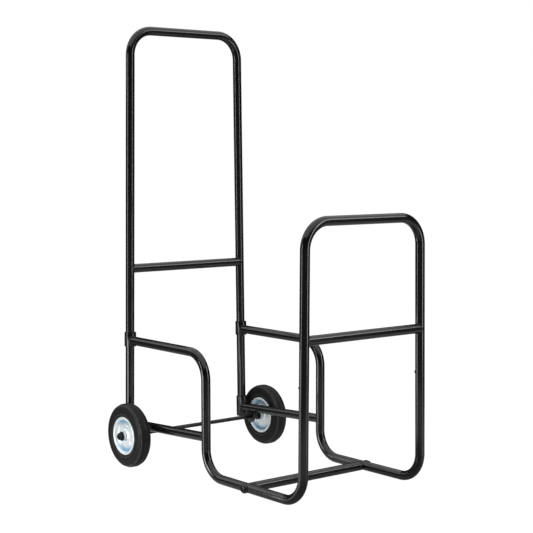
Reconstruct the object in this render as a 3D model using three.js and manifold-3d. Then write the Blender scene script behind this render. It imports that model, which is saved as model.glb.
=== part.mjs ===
// Fireside log cart: a tall push handle over two wheels, two bent side tubes that make the
// cradle and its floor runs, and a lower arch that closes the front. Millimetres, +Z up.
// The chassis is drawn square, with y = 0 in the plane of the handle's legs, the load towards
// -Y and z = 0 under the floor runs. It is then tipped onto its wheels and its front bends.
import * as THREE from "three";
import { mergeVertices } from "three/addons/utils/BufferGeometryUtils.js";
import Module from "manifold-3d";

const wasm = await Module();
wasm.setup();

// ---- Driving dimensions -------------------------------------------------------------------

// Tube stock
const TUBE_OD = 22;
const TUBE_WALL = 1.2;
const BEND_RADIUS = 62; // to the centreline of the tube
const CLEARANCE = 0.3; // between pieces that touch on the real cart

// Push handle
const HANDLE_HEIGHT = 1067.8; // top bar's centreline above the underside of the floor runs
const HANDLE_BASE_WIDTH = 358.9; // leg to leg, where the legs' lines reach the floor
const HANDLE_TOP_WIDTH = 331.4; // leg to leg, where they reach the top bar
const HANDLE_BAR_HEIGHT = 475.7;

// Side tubes, and the lower side tubes between the handle and their drops
const CRADLE_WIDTH = 353.6; // floor run to floor run
const CRADLE_LENGTH = 672.7; // handle's legs to the front legs
const DROP_FORWARD = 322.9; // handle's legs to the drops of the side tubes
const RAIL_HEIGHT = 295.7;
const LOWER_TUBE_BACK_HEIGHT = 85.2;
const LOWER_TUBE_FRONT_HEIGHT = 100.7;

// Front arch, swaged into the front legs of the side tubes
const ARCH_HEIGHT = 617.7;
const ARCH_TOP_WIDTH = 342;
const ARCH_BAR_HEIGHT = 363.6;
const SEAM_HEIGHT = 282;
const SPIGOT_LENGTH = 45;
const SWAGE_LENGTH = 12; // thickened length above the seam, where the tube necks down

// Sleeves that hold the handle's legs, looser than the legs
const SLEEVE_OD = 29.4;
const SLEEVE_WALL = 1.8;
const UPPER_SLEEVE_LENGTH = 35.5;
const LOWER_SLEEVE_LENGTH = 52.7;
const SLEEVE_RISE = 2.5; // a sleeve's middle above the middle of the tube welded to it
const PLUG_FLANGE = 2.5;
const PLUG_STEM = 12;

// Floor crossbar, and the long bolt through it that clamps it between the floor runs
const FLOOR_BAR_FORWARD = 481;
const INSERT_LENGTH = 25;
const COLLAR_LENGTH = 7; // of the insert's collar, between the crossbar and the run's side
const SADDLE_DIAMETER = 22;
const SADDLE_HEIGHT = 1.8; // outside the crown of the floor run
const BOLT_DIAMETER = 10;
const BOLT_HEAD_DIAMETER = 15.5;
const BOLT_HEAD_HEIGHT = 4;
const BOLT_SOCKET = 7; // across the flats of the hexagon socket
const BOLT_SOCKET_DEPTH = 2.5;

// Screws through the backs of the sleeves and of the front legs
const SCREW_DIAMETER = 5;
const SCREW_LENGTH = 9;
const SCREW_HEAD_DIAMETER = 10;
const SCREW_HEAD_HEIGHT = 3.2;
const FRONT_SCREW_DROP = 20; // below the seam

// Axle and its brackets
const AXLE_DIAMETER = 10;
const AXLE_FORWARD = 52.3;
const AXLE_HEIGHT = 67.1; // above the underside of the floor runs
const BRACKET_RADIUS = 16;
const BRACKET_THICKNESS = 4;
const BRACKET_INSET = 8.5; // plate's middle, inwards of the lower side tube's centreline
const SPACER_OD = 18;
const WASHER_OD = 22;
const WASHER_THICKNESS = 2.5;
const NUT_ACROSS_FLATS = 17;
const NUT_HEIGHT = 5.5;
const NUT_COLLAR_DIAMETER = 15;
const NUT_COLLAR_HEIGHT = 2.2;
const THREAD_END = 2.5; // stands out of a lock nut

// Wheels
const WHEEL_STANDOFF = 36.4; // wheel's middle, outwards of the handle's leg beside it
const WHEEL_RADIUS = 78.9;
const TYRE_WIDTH = 35.2;
const TYRE_SHOULDER = 13;
const TREAD_GROOVE_WIDTH = 1.8;
const TREAD_GROOVE_DEPTH = 1.5;
const RIM_SHEET = 1.5;
const RIM_LIP_RADIUS = 47.3;
const RIM_LIP_WIDTH = 7; // from the lip's edge in to the top of the dish wall
const RIM_DISH_RADIUS = 37; // foot of the dish wall
const RIM_DISH_DEPTH = 9.4; // web's edge, in from the tyre's side
const RIM_WEB_RISE = 2.2; // web's edge to the foot of the boss
const RIM_BOSS_RADIUS = 14;
const RIM_BOSS_RISE = 2.8;
const RIVET_CIRCLE_RADIUS = 25;
const RIVET_COUNT = 3;
const RIVET_PHASE = 72; // degrees
const RIVET_DIAMETER = 4.4;
const RIVET_HEAD_DIAMETER = 7.6;
const RIVET_HEAD_HEIGHT = 1.8;
const HUB_LENGTH = 46; // over the flanges of both bushes
const HUB_OD = 18;
const HUB_WALL = 1.7;
const BUSH_FLANGE_DIAMETER = 23;
const BUSH_FLANGE_THICKNESS = 2.5;
const BUSH_STEM = 12;

// Facets
const TUBE_SIDES = 12;
const BEND_STEPS = 5; // in a quarter turn
const SLEEVE_SIDES = 12;
const SMALL_SIDES = 12;
const TINY_SIDES = 8;
const TYRE_SIDES = 32;
const RIM_SIDES = 24;

// ---- Sizes that follow --------------------------------------------------------------------

const R = TUBE_OD / 2;
const BORE = R - TUBE_WALL;
const FLOOR_RUN = R; // height of the floor runs' centreline
const SPIGOT_RADIUS = BORE - CLEARANCE;
const SLEEVE_RADIUS = SLEEVE_OD / 2;
const SLEEVE_BORE = SLEEVE_RADIUS - SLEEVE_WALL;
const SLEEVE_SETBACK = SLEEVE_BORE - R - CLEARANCE; // each leg lies against its sleeve's back
const AXLE_RADIUS = AXLE_DIAMETER / 2;
const HUB_END = HUB_LENGTH / 2;
const SIDES = [
  { name: "left", sign: -1 },
  { name: "right", sign: 1 },
];

const { lerp } = THREE.MathUtils;
const legX = (z) => lerp(HANDLE_BASE_WIDTH, HANDLE_TOP_WIDTH, z / HANDLE_HEIGHT) / 2;
const frontLegX = (z) =>
  lerp(CRADLE_WIDTH, ARCH_TOP_WIDTH, (z - FLOOR_RUN) / (ARCH_HEIGHT - FLOOR_RUN)) / 2;

// Angle that tips the chassis forwards until its wheels and its front bends stand on one
// floor: the common tangent under two circles, the wheel and the outside of the front bend.
function tippingAngle() {
  const bendOutside = BEND_RADIUS + R;
  const along = CRADLE_LENGTH - BEND_RADIUS - AXLE_FORWARD;
  const up = AXLE_HEIGHT - (FLOOR_RUN + BEND_RADIUS);
  const distance = Math.hypot(along, up);
  return Math.asin((WHEEL_RADIUS - bendOutside) / distance) - Math.atan2(up, along);
}

// ---- Solids -------------------------------------------------------------------------------

function solidOf(geometry) {
  const bare = geometry.clone();
  bare.deleteAttribute("normal");
  bare.deleteAttribute("uv");
  const merged = mergeVertices(bare, 1e-4);
  const corners = merged.index.array;
  const kept = [];
  for (let i = 0; i < corners.length; i += 3) {
    const [a, b, c] = corners.slice(i, i + 3);
    if (a !== b && b !== c && c !== a) kept.push(a, b, c);
  }
  return new wasm.Manifold(
    new wasm.Mesh({
      numProp: 3,
      vertProperties: merged.attributes.position.array,
      triVerts: Uint32Array.from(kept),
    }),
  );
}

function geometryOf(solid) {
  const mesh = solid.getMesh();
  const geometry = new THREE.BufferGeometry();
  geometry.setAttribute("position", new THREE.BufferAttribute(mesh.vertProperties, 3));
  geometry.setIndex(new THREE.BufferAttribute(mesh.triVerts, 1));
  geometry.computeVertexNormals();
  return geometry;
}

// The route of a bent tube: straight stretches between corners that are rounded to arcs.
// Its stations lie at the ends of the straights and evenly round the bends.
class BentPath extends THREE.Curve {
  constructor(corners) {
    super();
    const last = corners.length - 1;
    const heading = (i) => corners[i + 1].clone().sub(corners[i]).normalize();
    this.stations = [{ point: corners[0], tangent: heading(0) }];
    for (let i = 1; i < last; i++) this.addBend(corners[i], heading(i - 1), heading(i));
    this.stations.push({ point: corners[last], tangent: heading(last - 1) });
  }

  addBend(corner, arriving, leaving) {
    const turn = arriving.angleTo(leaving);
    const axis = arriving.clone().cross(leaving).normalize();
    const start = corner.clone().addScaledVector(arriving, -BEND_RADIUS * Math.tan(turn / 2));
    const inward = axis.clone().cross(arriving);
    const centre = start.clone().addScaledVector(inward, BEND_RADIUS);
    const steps = Math.max(1, Math.round((BEND_STEPS * turn) / (Math.PI / 2)));
    for (let k = 0; k <= steps; k++) {
      const angle = (turn * k) / steps;
      const spoke = start.clone().sub(centre).applyAxisAngle(axis, angle);
      const tangent = arriving.clone().applyAxisAngle(axis, angle);
      this.stations.push({ point: spoke.add(centre), tangent });
    }
  }

  stationAt(u) {
    return this.stations[Math.round(u * (this.stations.length - 1))];
  }

  getPointAt(u, target = new THREE.Vector3()) {
    return target.copy(this.stationAt(u).point);
  }

  getTangentAt(u, target = new THREE.Vector3()) {
    return target.copy(this.stationAt(u).tangent);
  }
}

// Points of a polygon whose flats, not its corners, lie at the radius.
function polygon(radius, sides) {
  return Array.from({ length: sides }, (_, i) => {
    const angle = ((i + 0.5) * 2 * Math.PI) / sides;
    return new THREE.Vector2(Math.cos(angle), Math.sin(angle)).multiplyScalar(
      radius / Math.cos(Math.PI / sides),
    );
  });
}

// A rod or, with a bore, a tube along a route of corners.
function sweep(corners, radius, { bore = 0, sides = TUBE_SIDES } = {}) {
  const path = new BentPath(corners);
  const section = new THREE.Shape(polygon(radius, sides));
  if (bore) section.holes.push(new THREE.Path(polygon(bore, sides)));
  const steps = path.stations.length - 1;
  return solidOf(new THREE.ExtrudeGeometry(section, { steps, extrudePath: path }));
}

// A solid of revolution about the X axis. The profile lists [x, radius] round the section.
function revolve(profile, sides = SMALL_SIDES) {
  const points = profile.map(
    ([x, radius]) => new THREE.Vector2(radius / Math.cos(Math.PI / sides), x),
  );
  if (THREE.ShapeUtils.area(points) < 0) points.reverse();
  points.push(points[0].clone());
  const turned = new THREE.LatheGeometry(points, sides, Math.PI / sides);
  return solidOf(turned.rotateZ(-Math.PI / 2));
}

// A ring about the X axis, such as a washer or a spacer.
function ring(from, to, radius, bore, sides = SMALL_SIDES) {
  const section = [
    [from, bore],
    [to, bore],
    [to, radius],
    [from, radius],
  ];
  return revolve(section, sides);
}

function placed(solid, x, y, z) {
  return solid.translate([x, y, z]);
}

const at = (x, y, z) => new THREE.Vector3(x, y, z);

// ---- Finishes -----------------------------------------------------------------------------

const powderCoat = () =>
  new THREE.MeshStandardMaterial({ color: 0x1b1b1c, roughness: 0.42, metalness: 0.1 });
const blackZinc = () =>
  new THREE.MeshStandardMaterial({ color: 0x141415, roughness: 0.35, metalness: 0.7 });
const brightZinc = () =>
  new THREE.MeshStandardMaterial({ color: 0xcfdbe2, roughness: 0.22, metalness: 1 });
const rubber = () =>
  new THREE.MeshStandardMaterial({ color: 0x1d1d1d, roughness: 0.8, metalness: 0 });
const blackNylon = () =>
  new THREE.MeshStandardMaterial({ color: 0x101010, roughness: 0.5, metalness: 0 });

function piece(name, solid, material) {
  const mesh = new THREE.Mesh(geometryOf(solid), material);
  mesh.name = name;
  return mesh;
}

// ---- Routes of the tubes ------------------------------------------------------------------

const lowerSleeveHeight = LOWER_TUBE_BACK_HEIGHT + SLEEVE_RISE;
const upperSleeveHeight = RAIL_HEIGHT + SLEEVE_RISE;
const lowerSleeveFoot = lowerSleeveHeight - LOWER_SLEEVE_LENGTH / 2;
const handleFoot = lowerSleeveFoot + PLUG_FLANGE + CLEARANCE;

const handleRoute = [
  at(-legX(handleFoot), 0, handleFoot),
  at(-legX(HANDLE_HEIGHT), 0, HANDLE_HEIGHT),
  at(legX(HANDLE_HEIGHT), 0, HANDLE_HEIGHT),
  at(legX(handleFoot), 0, handleFoot),
];

function sideRoute(sign, top) {
  return [
    at(sign * legX(RAIL_HEIGHT), -SLEEVE_SETBACK, RAIL_HEIGHT),
    at((sign * CRADLE_WIDTH) / 2, -DROP_FORWARD, RAIL_HEIGHT),
    at((sign * CRADLE_WIDTH) / 2, -DROP_FORWARD, FLOOR_RUN),
    at((sign * CRADLE_WIDTH) / 2, -CRADLE_LENGTH, FLOOR_RUN),
    at(sign * frontLegX(top), -CRADLE_LENGTH, top),
  ];
}

function archRoute(bottom) {
  return [
    at(-frontLegX(bottom), -CRADLE_LENGTH, bottom),
    at(-frontLegX(ARCH_HEIGHT), -CRADLE_LENGTH, ARCH_HEIGHT),
    at(frontLegX(ARCH_HEIGHT), -CRADLE_LENGTH, ARCH_HEIGHT),
    at(frontLegX(bottom), -CRADLE_LENGTH, bottom),
  ];
}

// A point on the centreline of a lower side tube, at a distance in front of the handle.
function lowerTubePoint(sign, forward) {
  const t = forward / DROP_FORWARD;
  return at(
    sign * lerp(legX(LOWER_TUBE_BACK_HEIGHT), CRADLE_WIDTH / 2, t),
    -forward,
    lerp(LOWER_TUBE_BACK_HEIGHT, LOWER_TUBE_FRONT_HEIGHT, t),
  );
}

function sleeveRoute(sign, height, length) {
  const [low, high] = [height - length / 2, height + length / 2];
  return [
    at(sign * legX(low), -SLEEVE_SETBACK, low),
    at(sign * legX(high), -SLEEVE_SETBACK, high),
  ];
}

// ---- Push handle --------------------------------------------------------------------------

// A hole along Y for a screw through the back of a leg or of a sleeve.
function screwHole(x, back, z) {
  const radius = SCREW_DIAMETER / 2 + CLEARANCE;
  const depth = R;
  return sweep([at(x, back - depth, z), at(x, back + depth, z)], radius, {
    sides: TINY_SIDES,
  });
}

function addHandle(chassis) {
  let frame = sweep(handleRoute, R, { bore: BORE });
  for (const { sign } of SIDES)
    for (const z of [upperSleeveHeight, lowerSleeveHeight])
      frame = frame.subtract(screwHole(sign * legX(z), R, z));
  chassis.add(piece("handle_frame", frame, powderCoat()));

  const end = legX(HANDLE_BAR_HEIGHT);
  const barRoute = [at(-end, 0, HANDLE_BAR_HEIGHT), at(end, 0, HANDLE_BAR_HEIGHT)];
  const bar = sweep(barRoute, R, { bore: BORE }).subtract(sweep(handleRoute, R + CLEARANCE));
  chassis.add(piece("handle_crossbar", bar, powderCoat()));
}

function addSleeves(chassis, { name, sign }) {
  const rows = [
    ["upper", upperSleeveHeight, UPPER_SLEEVE_LENGTH],
    ["lower", lowerSleeveHeight, LOWER_SLEEVE_LENGTH],
  ];
  for (const [level, height, length] of rows) {
    const tube = sweep(sleeveRoute(sign, height, length), SLEEVE_RADIUS, {
      bore: SLEEVE_BORE,
      sides: SLEEVE_SIDES,
    });
    const back = SLEEVE_RADIUS - SLEEVE_SETBACK;
    const x = sign * legX(height);
    const sleeve = tube.subtract(screwHole(x, back, height));
    chassis.add(piece(`${name}_${level}_sleeve`, sleeve, powderCoat()));

    const screw = piece(`${name}_${level}_sleeve_screw`, panScrew(), blackZinc());
    screw.position.set(x, back + CLEARANCE, height);
    screw.rotation.z = Math.PI / 2;
    chassis.add(screw);
  }
}

// Stands along +X with the underside of its head at x = 0.
function panScrew() {
  const shank = SCREW_DIAMETER / 2;
  const head = SCREW_HEAD_DIAMETER / 2;
  const profile = [
    [-SCREW_LENGTH, 0],
    [-SCREW_LENGTH, shank],
    [0, shank],
    [0, head],
    [SCREW_HEAD_HEIGHT * 0.6, head],
    [SCREW_HEAD_HEIGHT, head * 0.6],
    [SCREW_HEAD_HEIGHT, 0],
  ];
  return revolve(profile, TINY_SIDES);
}

// Closes the open foot of a leg: a flange under the tube and a stem inside it.
function addHandlePlug(chassis, { name, sign }) {
  const stem = BORE - CLEARANCE;
  const profile = [
    [-PLUG_FLANGE, 0],
    [-PLUG_FLANGE, R - 1],
    [-PLUG_FLANGE + 1, R],
    [0, R],
    [0, stem],
    [PLUG_STEM - 2, stem],
    [PLUG_STEM, stem - 1],
    [PLUG_STEM, 0],
  ];
  const plug = piece(`${name}_handle_plug`, revolve(profile, TUBE_SIDES), blackNylon());
  plug.position.set(sign * legX(handleFoot), 0, handleFoot - CLEARANCE);
  plug.rotation.y = -Math.PI / 2;
  chassis.add(plug);
}

// ---- Side tubes and front arch ------------------------------------------------------------

function boltHole(sign) {
  const outside = CRADLE_WIDTH / 2 + TUBE_OD;
  const inside = CRADLE_WIDTH / 2 - TUBE_OD;
  const ends = [inside, outside].map((x) => at(sign * x, -FLOOR_BAR_FORWARD, FLOOR_RUN));
  return sweep(ends, BOLT_DIAMETER / 2 + CLEARANCE, { sides: SMALL_SIDES });
}

const frontScrewHeight = SEAM_HEIGHT - FRONT_SCREW_DROP;
const frontScrewBack = R - CRADLE_LENGTH;

function frontScrewHole(sign) {
  return screwHole(sign * frontLegX(frontScrewHeight), frontScrewBack, frontScrewHeight);
}

function addSideTubes(chassis, { name, sign }) {
  const upperSleeve = sleeveRoute(sign, upperSleeveHeight, UPPER_SLEEVE_LENGTH);
  const lowerSleeve = sleeveRoute(sign, lowerSleeveHeight, LOWER_SLEEVE_LENGTH);
  const sleeveCut = (route) => sweep(route, SLEEVE_RADIUS + CLEARANCE, { sides: SLEEVE_SIDES });
  const route = sideRoute(sign, SEAM_HEIGHT - CLEARANCE);

  const side = sweep(route, R, { bore: BORE })
    .subtract(sleeveCut(upperSleeve))
    .subtract(boltHole(sign))
    .subtract(frontScrewHole(sign));
  chassis.add(piece(`${name}_side_tube`, side, powderCoat()));

  const ends = [lowerTubePoint(sign, SLEEVE_SETBACK), lowerTubePoint(sign, DROP_FORWARD)];
  const lower = sweep(ends, R, { bore: BORE })
    .subtract(sleeveCut(lowerSleeve))
    .subtract(sweep(route, R + CLEARANCE));
  chassis.add(piece(`${name}_lower_side_tube`, lower, powderCoat()));
}

function addArch(chassis) {
  const spigotFoot = SEAM_HEIGHT - SPIGOT_LENGTH;
  const neck = SEAM_HEIGHT + SWAGE_LENGTH;
  let arch = sweep(archRoute(SEAM_HEIGHT), R);
  for (const { sign } of SIDES) {
    const leg = (from, to) => [from, to].map((z) => at(sign * frontLegX(z), -CRADLE_LENGTH, z));
    arch = arch.add(sweep(leg(spigotFoot, neck), SPIGOT_RADIUS));
    arch = arch.subtract(sweep(leg(spigotFoot - 1, neck + 1), SPIGOT_RADIUS - TUBE_WALL));
    arch = arch.subtract(frontScrewHole(sign));
  }
  arch = arch.subtract(sweep(archRoute(neck), BORE));
  chassis.add(piece("front_frame", arch, powderCoat()));

  const end = frontLegX(ARCH_BAR_HEIGHT);
  const barRoute = [-end, end].map((x) => at(x, -CRADLE_LENGTH, ARCH_BAR_HEIGHT));
  const bar = sweep(barRoute, R, { bore: BORE }).subtract(
    sweep(archRoute(SEAM_HEIGHT), R + CLEARANCE),
  );
  chassis.add(piece("front_crossbar", bar, powderCoat()));

  for (const { name, sign } of SIDES) {
    const screw = piece(`${name}_front_screw`, panScrew(), blackZinc());
    const x = sign * frontLegX(frontScrewHeight);
    screw.position.set(x, frontScrewBack + CLEARANCE, frontScrewHeight);
    screw.rotation.z = Math.PI / 2;
    chassis.add(screw);
  }
}

// ---- Floor crossbar -----------------------------------------------------------------------

// A plastic insert in each end seats on the round side of its run. The bolt goes through both
// runs from the left, and its lock nut is on the right.
function addFloorBar(chassis) {
  const bar = new THREE.Group();
  bar.position.set(0, -FLOOR_BAR_FORWARD, FLOOR_RUN);
  chassis.add(bar);

  const end = CRADLE_WIDTH / 2 - R - COLLAR_LENGTH;
  const tube = sweep([at(-end, 0, 0), at(end, 0, 0)], R, { bore: BORE });
  bar.add(piece("floor_crossbar", tube, powderCoat()));

  const boltBore = BOLT_DIAMETER / 2 + CLEARANCE;
  const saddleFace = CRADLE_WIDTH / 2 + R + SADDLE_HEIGHT;
  const runEnds = [-TUBE_OD, TUBE_OD].map((y) => at(CRADLE_WIDTH / 2, y, 0));
  const run = sweep(runEnds, R + CLEARANCE);
  const insert = revolve([
    [end - INSERT_LENGTH, boltBore],
    [CRADLE_WIDTH / 2, boltBore],
    [CRADLE_WIDTH / 2, R],
    [end + CLEARANCE, R],
    [end + CLEARANCE, BORE - CLEARANCE],
    [end - INSERT_LENGTH, BORE - CLEARANCE],
  ]).subtract(run);
  const saddle = ring(CRADLE_WIDTH / 2, saddleFace, SADDLE_DIAMETER / 2, boltBore).subtract(run);
  for (const { name, sign } of SIDES) {
    const fittings = new THREE.Group();
    fittings.rotation.z = sign < 0 ? Math.PI : 0;
    fittings.add(piece(`${name}_crossbar_insert`, insert, blackNylon()));
    fittings.add(piece(`${name}_saddle_washer`, saddle, blackNylon()));
    bar.add(fittings);
  }

  const seat = saddleFace + CLEARANCE;
  const tip = seat + NUT_HEIGHT + NUT_COLLAR_HEIGHT + THREAD_END;
  const bolt = piece("crossbar_bolt", capBolt(seat + tip), blackZinc());
  bolt.position.x = -seat;
  bolt.rotation.z = Math.PI;
  bar.add(bolt);
  const nut = piece("crossbar_nut", lockNut(), blackZinc());
  nut.position.x = seat;
  bar.add(nut);
}

// Stands along +X with the underside of its low round head at x = 0.
function capBolt(length) {
  const shank = BOLT_DIAMETER / 2;
  const head = BOLT_HEAD_DIAMETER / 2;
  const profile = [
    [-length, 0],
    [-length, shank - 1],
    [1 - length, shank],
    [0, shank],
    [0, head],
    [BOLT_HEAD_HEIGHT - 0.8, head],
    [BOLT_HEAD_HEIGHT, head - 0.8],
    [BOLT_HEAD_HEIGHT, 0],
  ];
  const floor = BOLT_HEAD_HEIGHT - BOLT_SOCKET_DEPTH;
  const socket = sweep([at(floor, 0, 0), at(BOLT_HEAD_HEIGHT + 1, 0, 0)], BOLT_SOCKET / 2, {
    sides: 6,
  });
  return revolve(profile).subtract(socket);
}

// ---- Axle ---------------------------------------------------------------------------------

const wheelOffset = legX(AXLE_HEIGHT) + WHEEL_STANDOFF;
const hubInside = wheelOffset - HUB_END;
const washerInside = hubInside - CLEARANCE - WASHER_THICKNESS;
const nutInside = wheelOffset + HUB_END + CLEARANCE;
const nutOutside = nutInside + NUT_HEIGHT + NUT_COLLAR_HEIGHT;

// A plate with a round foot, coped to the underside of the lower side tube.
function axleBracket(sign, middle) {
  const tube = lowerTubePoint(sign, AXLE_FORWARD);
  const outline = new THREE.Shape();
  outline.absarc(0, 0, BRACKET_RADIUS, Math.PI, 2 * Math.PI);
  outline.lineTo(BRACKET_RADIUS, tube.z - AXLE_HEIGHT);
  outline.lineTo(-BRACKET_RADIUS, tube.z - AXLE_HEIGHT);
  const blank = new THREE.ExtrudeGeometry(outline, {
    depth: BRACKET_THICKNESS,
    bevelEnabled: false,
    curveSegments: 8,
  });
  blank.rotateX(Math.PI / 2).rotateZ(Math.PI / 2);
  const inner = sign * middle - BRACKET_THICKNESS / 2;
  const cut = [0, DROP_FORWARD].map((forward) => lowerTubePoint(sign, forward));
  const hole = [-1, BRACKET_THICKNESS + 1].map((x) => at(inner + x, -AXLE_FORWARD, AXLE_HEIGHT));
  return placed(solidOf(blank), inner, -AXLE_FORWARD, AXLE_HEIGHT)
    .subtract(sweep(cut, R + CLEARANCE))
    .subtract(sweep(hole, AXLE_RADIUS + CLEARANCE));
}

// A hexagon nut with the round collar of its locking ring, for the axle and for the long bolt.
function lockNut() {
  const flats = NUT_ACROSS_FLATS / 2;
  const hexagon = sweep([at(0, 0, 0), at(NUT_HEIGHT, 0, 0)], flats, { sides: 6 });
  const collar = revolve([
    [NUT_HEIGHT - 1, 0],
    [NUT_HEIGHT - 1, NUT_COLLAR_DIAMETER / 2],
    [NUT_HEIGHT + NUT_COLLAR_HEIGHT - 0.8, NUT_COLLAR_DIAMETER / 2],
    [NUT_HEIGHT + NUT_COLLAR_HEIGHT, NUT_COLLAR_DIAMETER / 2 - 1.2],
    [NUT_HEIGHT + NUT_COLLAR_HEIGHT, 0],
  ]);
  const bore = [at(-1, 0, 0), at(NUT_HEIGHT + NUT_COLLAR_HEIGHT + 1, 0, 0)];
  return hexagon.add(collar).subtract(sweep(bore, AXLE_RADIUS + CLEARANCE));
}

function addAxle(chassis) {
  const tip = nutOutside + THREAD_END;
  const rod = revolve([
    [-tip, 0],
    [-tip, AXLE_RADIUS - 1],
    [1 - tip, AXLE_RADIUS],
    [tip - 1, AXLE_RADIUS],
    [tip, AXLE_RADIUS - 1],
    [tip, 0],
  ]);
  const axle = piece("axle", rod, blackZinc());
  axle.position.set(0, -AXLE_FORWARD, AXLE_HEIGHT);
  chassis.add(axle);

  for (const { name, sign } of SIDES) {
    const middle = Math.abs(lowerTubePoint(sign, AXLE_FORWARD).x) - BRACKET_INSET;
    chassis.add(piece(`${name}_axle_bracket`, axleBracket(sign, middle), powderCoat()));

    const stack = new THREE.Group();
    stack.position.set(0, -AXLE_FORWARD, AXLE_HEIGHT);
    stack.rotation.z = sign < 0 ? Math.PI : 0;
    const bore = AXLE_RADIUS + CLEARANCE;
    const from = middle + BRACKET_THICKNESS / 2 + CLEARANCE;
    const spacer = ring(from, washerInside - CLEARANCE, SPACER_OD / 2, bore);
    stack.add(piece(`${name}_axle_spacer`, spacer, powderCoat()));
    const washer = ring(washerInside, hubInside - CLEARANCE, WASHER_OD / 2, bore);
    stack.add(piece(`${name}_axle_washer`, washer, blackZinc()));
    stack.add(piece(`${name}_lock_nut`, placed(lockNut(), nutInside, 0, 0), blackZinc()));
    chassis.add(stack);
  }
}

// ---- Wheels -------------------------------------------------------------------------------

// Axial places in a wheel are measured from its middle, and the outboard half is drawn.
const tyreSide = TYRE_WIDTH / 2;
const webEdge = tyreSide - RIM_DISH_DEPTH;
const webFoot = webEdge + RIM_WEB_RISE;
const bossTop = webFoot + RIM_BOSS_RISE;
const lipCrown = tyreSide + 0.2 - RIM_SHEET / 2;
const dishTopRadius = RIM_LIP_RADIUS - RIM_LIP_WIDTH;

// Middle of the rim's sheet, from the hub out to the rolled lip.
const rimSheet = [
  [bossTop, HUB_OD / 2 + CLEARANCE],
  [bossTop, RIM_BOSS_RADIUS],
  [webFoot, RIM_BOSS_RADIUS + 3],
  [webEdge, RIM_DISH_RADIUS],
  [lipCrown - 2.5, dishTopRadius],
  [lipCrown, dishTopRadius + 2.8],
  [lipCrown - 0.8, RIM_LIP_RADIUS - RIM_SHEET / 2],
];

// One face of the sheet: the middle line moved to one side by half the sheet and a gap.
function sheetFace(side, gap = 0) {
  const shift = side * (RIM_SHEET / 2 + gap);
  return rimSheet.map((point, i) => {
    const before = rimSheet[Math.max(0, i - 1)];
    const after = rimSheet[Math.min(rimSheet.length - 1, i + 1)];
    const along = new THREE.Vector2(after[0] - before[0], after[1] - before[1]).normalize();
    return [point[0] + shift * along.y, point[1] - shift * along.x];
  });
}

// The web's own height at a radius between the boss and the dish wall.
function webAt(radius) {
  const inner = RIM_BOSS_RADIUS + 3;
  return lerp(webFoot, webEdge, (radius - inner) / (RIM_DISH_RADIUS - inner));
}

function rivetPlace(k) {
  const angle = THREE.MathUtils.degToRad(RIVET_PHASE + (360 * k) / RIVET_COUNT);
  return [RIVET_CIRCLE_RADIUS * Math.cos(angle), RIVET_CIRCLE_RADIUS * Math.sin(angle)];
}

function rimDisc() {
  const outline = [...sheetFace(1), ...sheetFace(-1).reverse()];
  let disc = revolve(outline, RIM_SIDES);
  for (let k = 0; k < RIVET_COUNT; k++) {
    const [y, z] = rivetPlace(k);
    const hole = [0, tyreSide].map((x) => at(x, y, z));
    disc = disc.subtract(sweep(hole, RIVET_DIAMETER / 2 + CLEARANCE, { sides: TINY_SIDES }));
  }
  return disc;
}

function rivet() {
  const shank = RIVET_DIAMETER / 2;
  const head = RIVET_HEAD_DIAMETER / 2;
  const seat = webAt(RIVET_CIRCLE_RADIUS - head) + RIM_SHEET / 2 + CLEARANCE;
  const half = [
    [seat, shank],
    [seat, head],
    [seat + RIVET_HEAD_HEIGHT, head * 0.5],
    [seat + RIVET_HEAD_HEIGHT, 0],
  ];
  const otherHalf = half.map(([x, radius]) => [-x, radius]).reverse();
  return revolve([...otherHalf, ...half], TINY_SIDES);
}

// Half of the tyre's section, from its seat on the rim round to the crown.
function tyreHalf() {
  const [, , , foot, wall, crown, edge] = sheetFace(-1, CLEARANCE);
  const shoulderCentre = [tyreSide - TYRE_SHOULDER, WHEEL_RADIUS - TYRE_SHOULDER];
  const shoulder = [0, 30, 60].map((degrees) => {
    const angle = THREE.MathUtils.degToRad(degrees);
    return [
      shoulderCentre[0] + TYRE_SHOULDER * Math.cos(angle),
      shoulderCentre[1] + TYRE_SHOULDER * Math.sin(angle),
    ];
  });
  const groove = shoulderCentre[0];
  const underLip = Math.min(crown[0], edge[0]) - 0.2;
  return [
    [foot[0], foot[1] + 0.2],
    [wall[0], wall[1] + 0.2],
    [underLip, crown[1]],
    [underLip, RIM_LIP_RADIUS + 2 * CLEARANCE],
    [tyreSide, RIM_LIP_RADIUS + 4],
    [tyreSide - 0.6, RIM_LIP_RADIUS + 7],
    ...shoulder,
    [groove + TREAD_GROOVE_WIDTH / 2, WHEEL_RADIUS],
    [groove, WHEEL_RADIUS - TREAD_GROOVE_DEPTH],
    [groove - TREAD_GROOVE_WIDTH / 2, WHEEL_RADIUS],
  ];
}

function tyre() {
  const half = tyreHalf();
  const otherHalf = half.map(([x, radius]) => [-x, radius]).reverse();
  return revolve([...half, ...otherHalf], TYRE_SIDES);
}

// A flanged bush, its flange outside the hub tube and its stem in the tube's bore.
function bush() {
  const flange = HUB_END - BUSH_FLANGE_THICKNESS;
  const stem = HUB_OD / 2 - HUB_WALL - CLEARANCE;
  const bore = AXLE_RADIUS + CLEARANCE;
  return revolve([
    [flange - BUSH_STEM, bore],
    [HUB_END, bore],
    [HUB_END, BUSH_FLANGE_DIAMETER / 2],
    [flange, BUSH_FLANGE_DIAMETER / 2],
    [flange, stem],
    [flange - BUSH_STEM, stem],
  ]);
}

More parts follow.
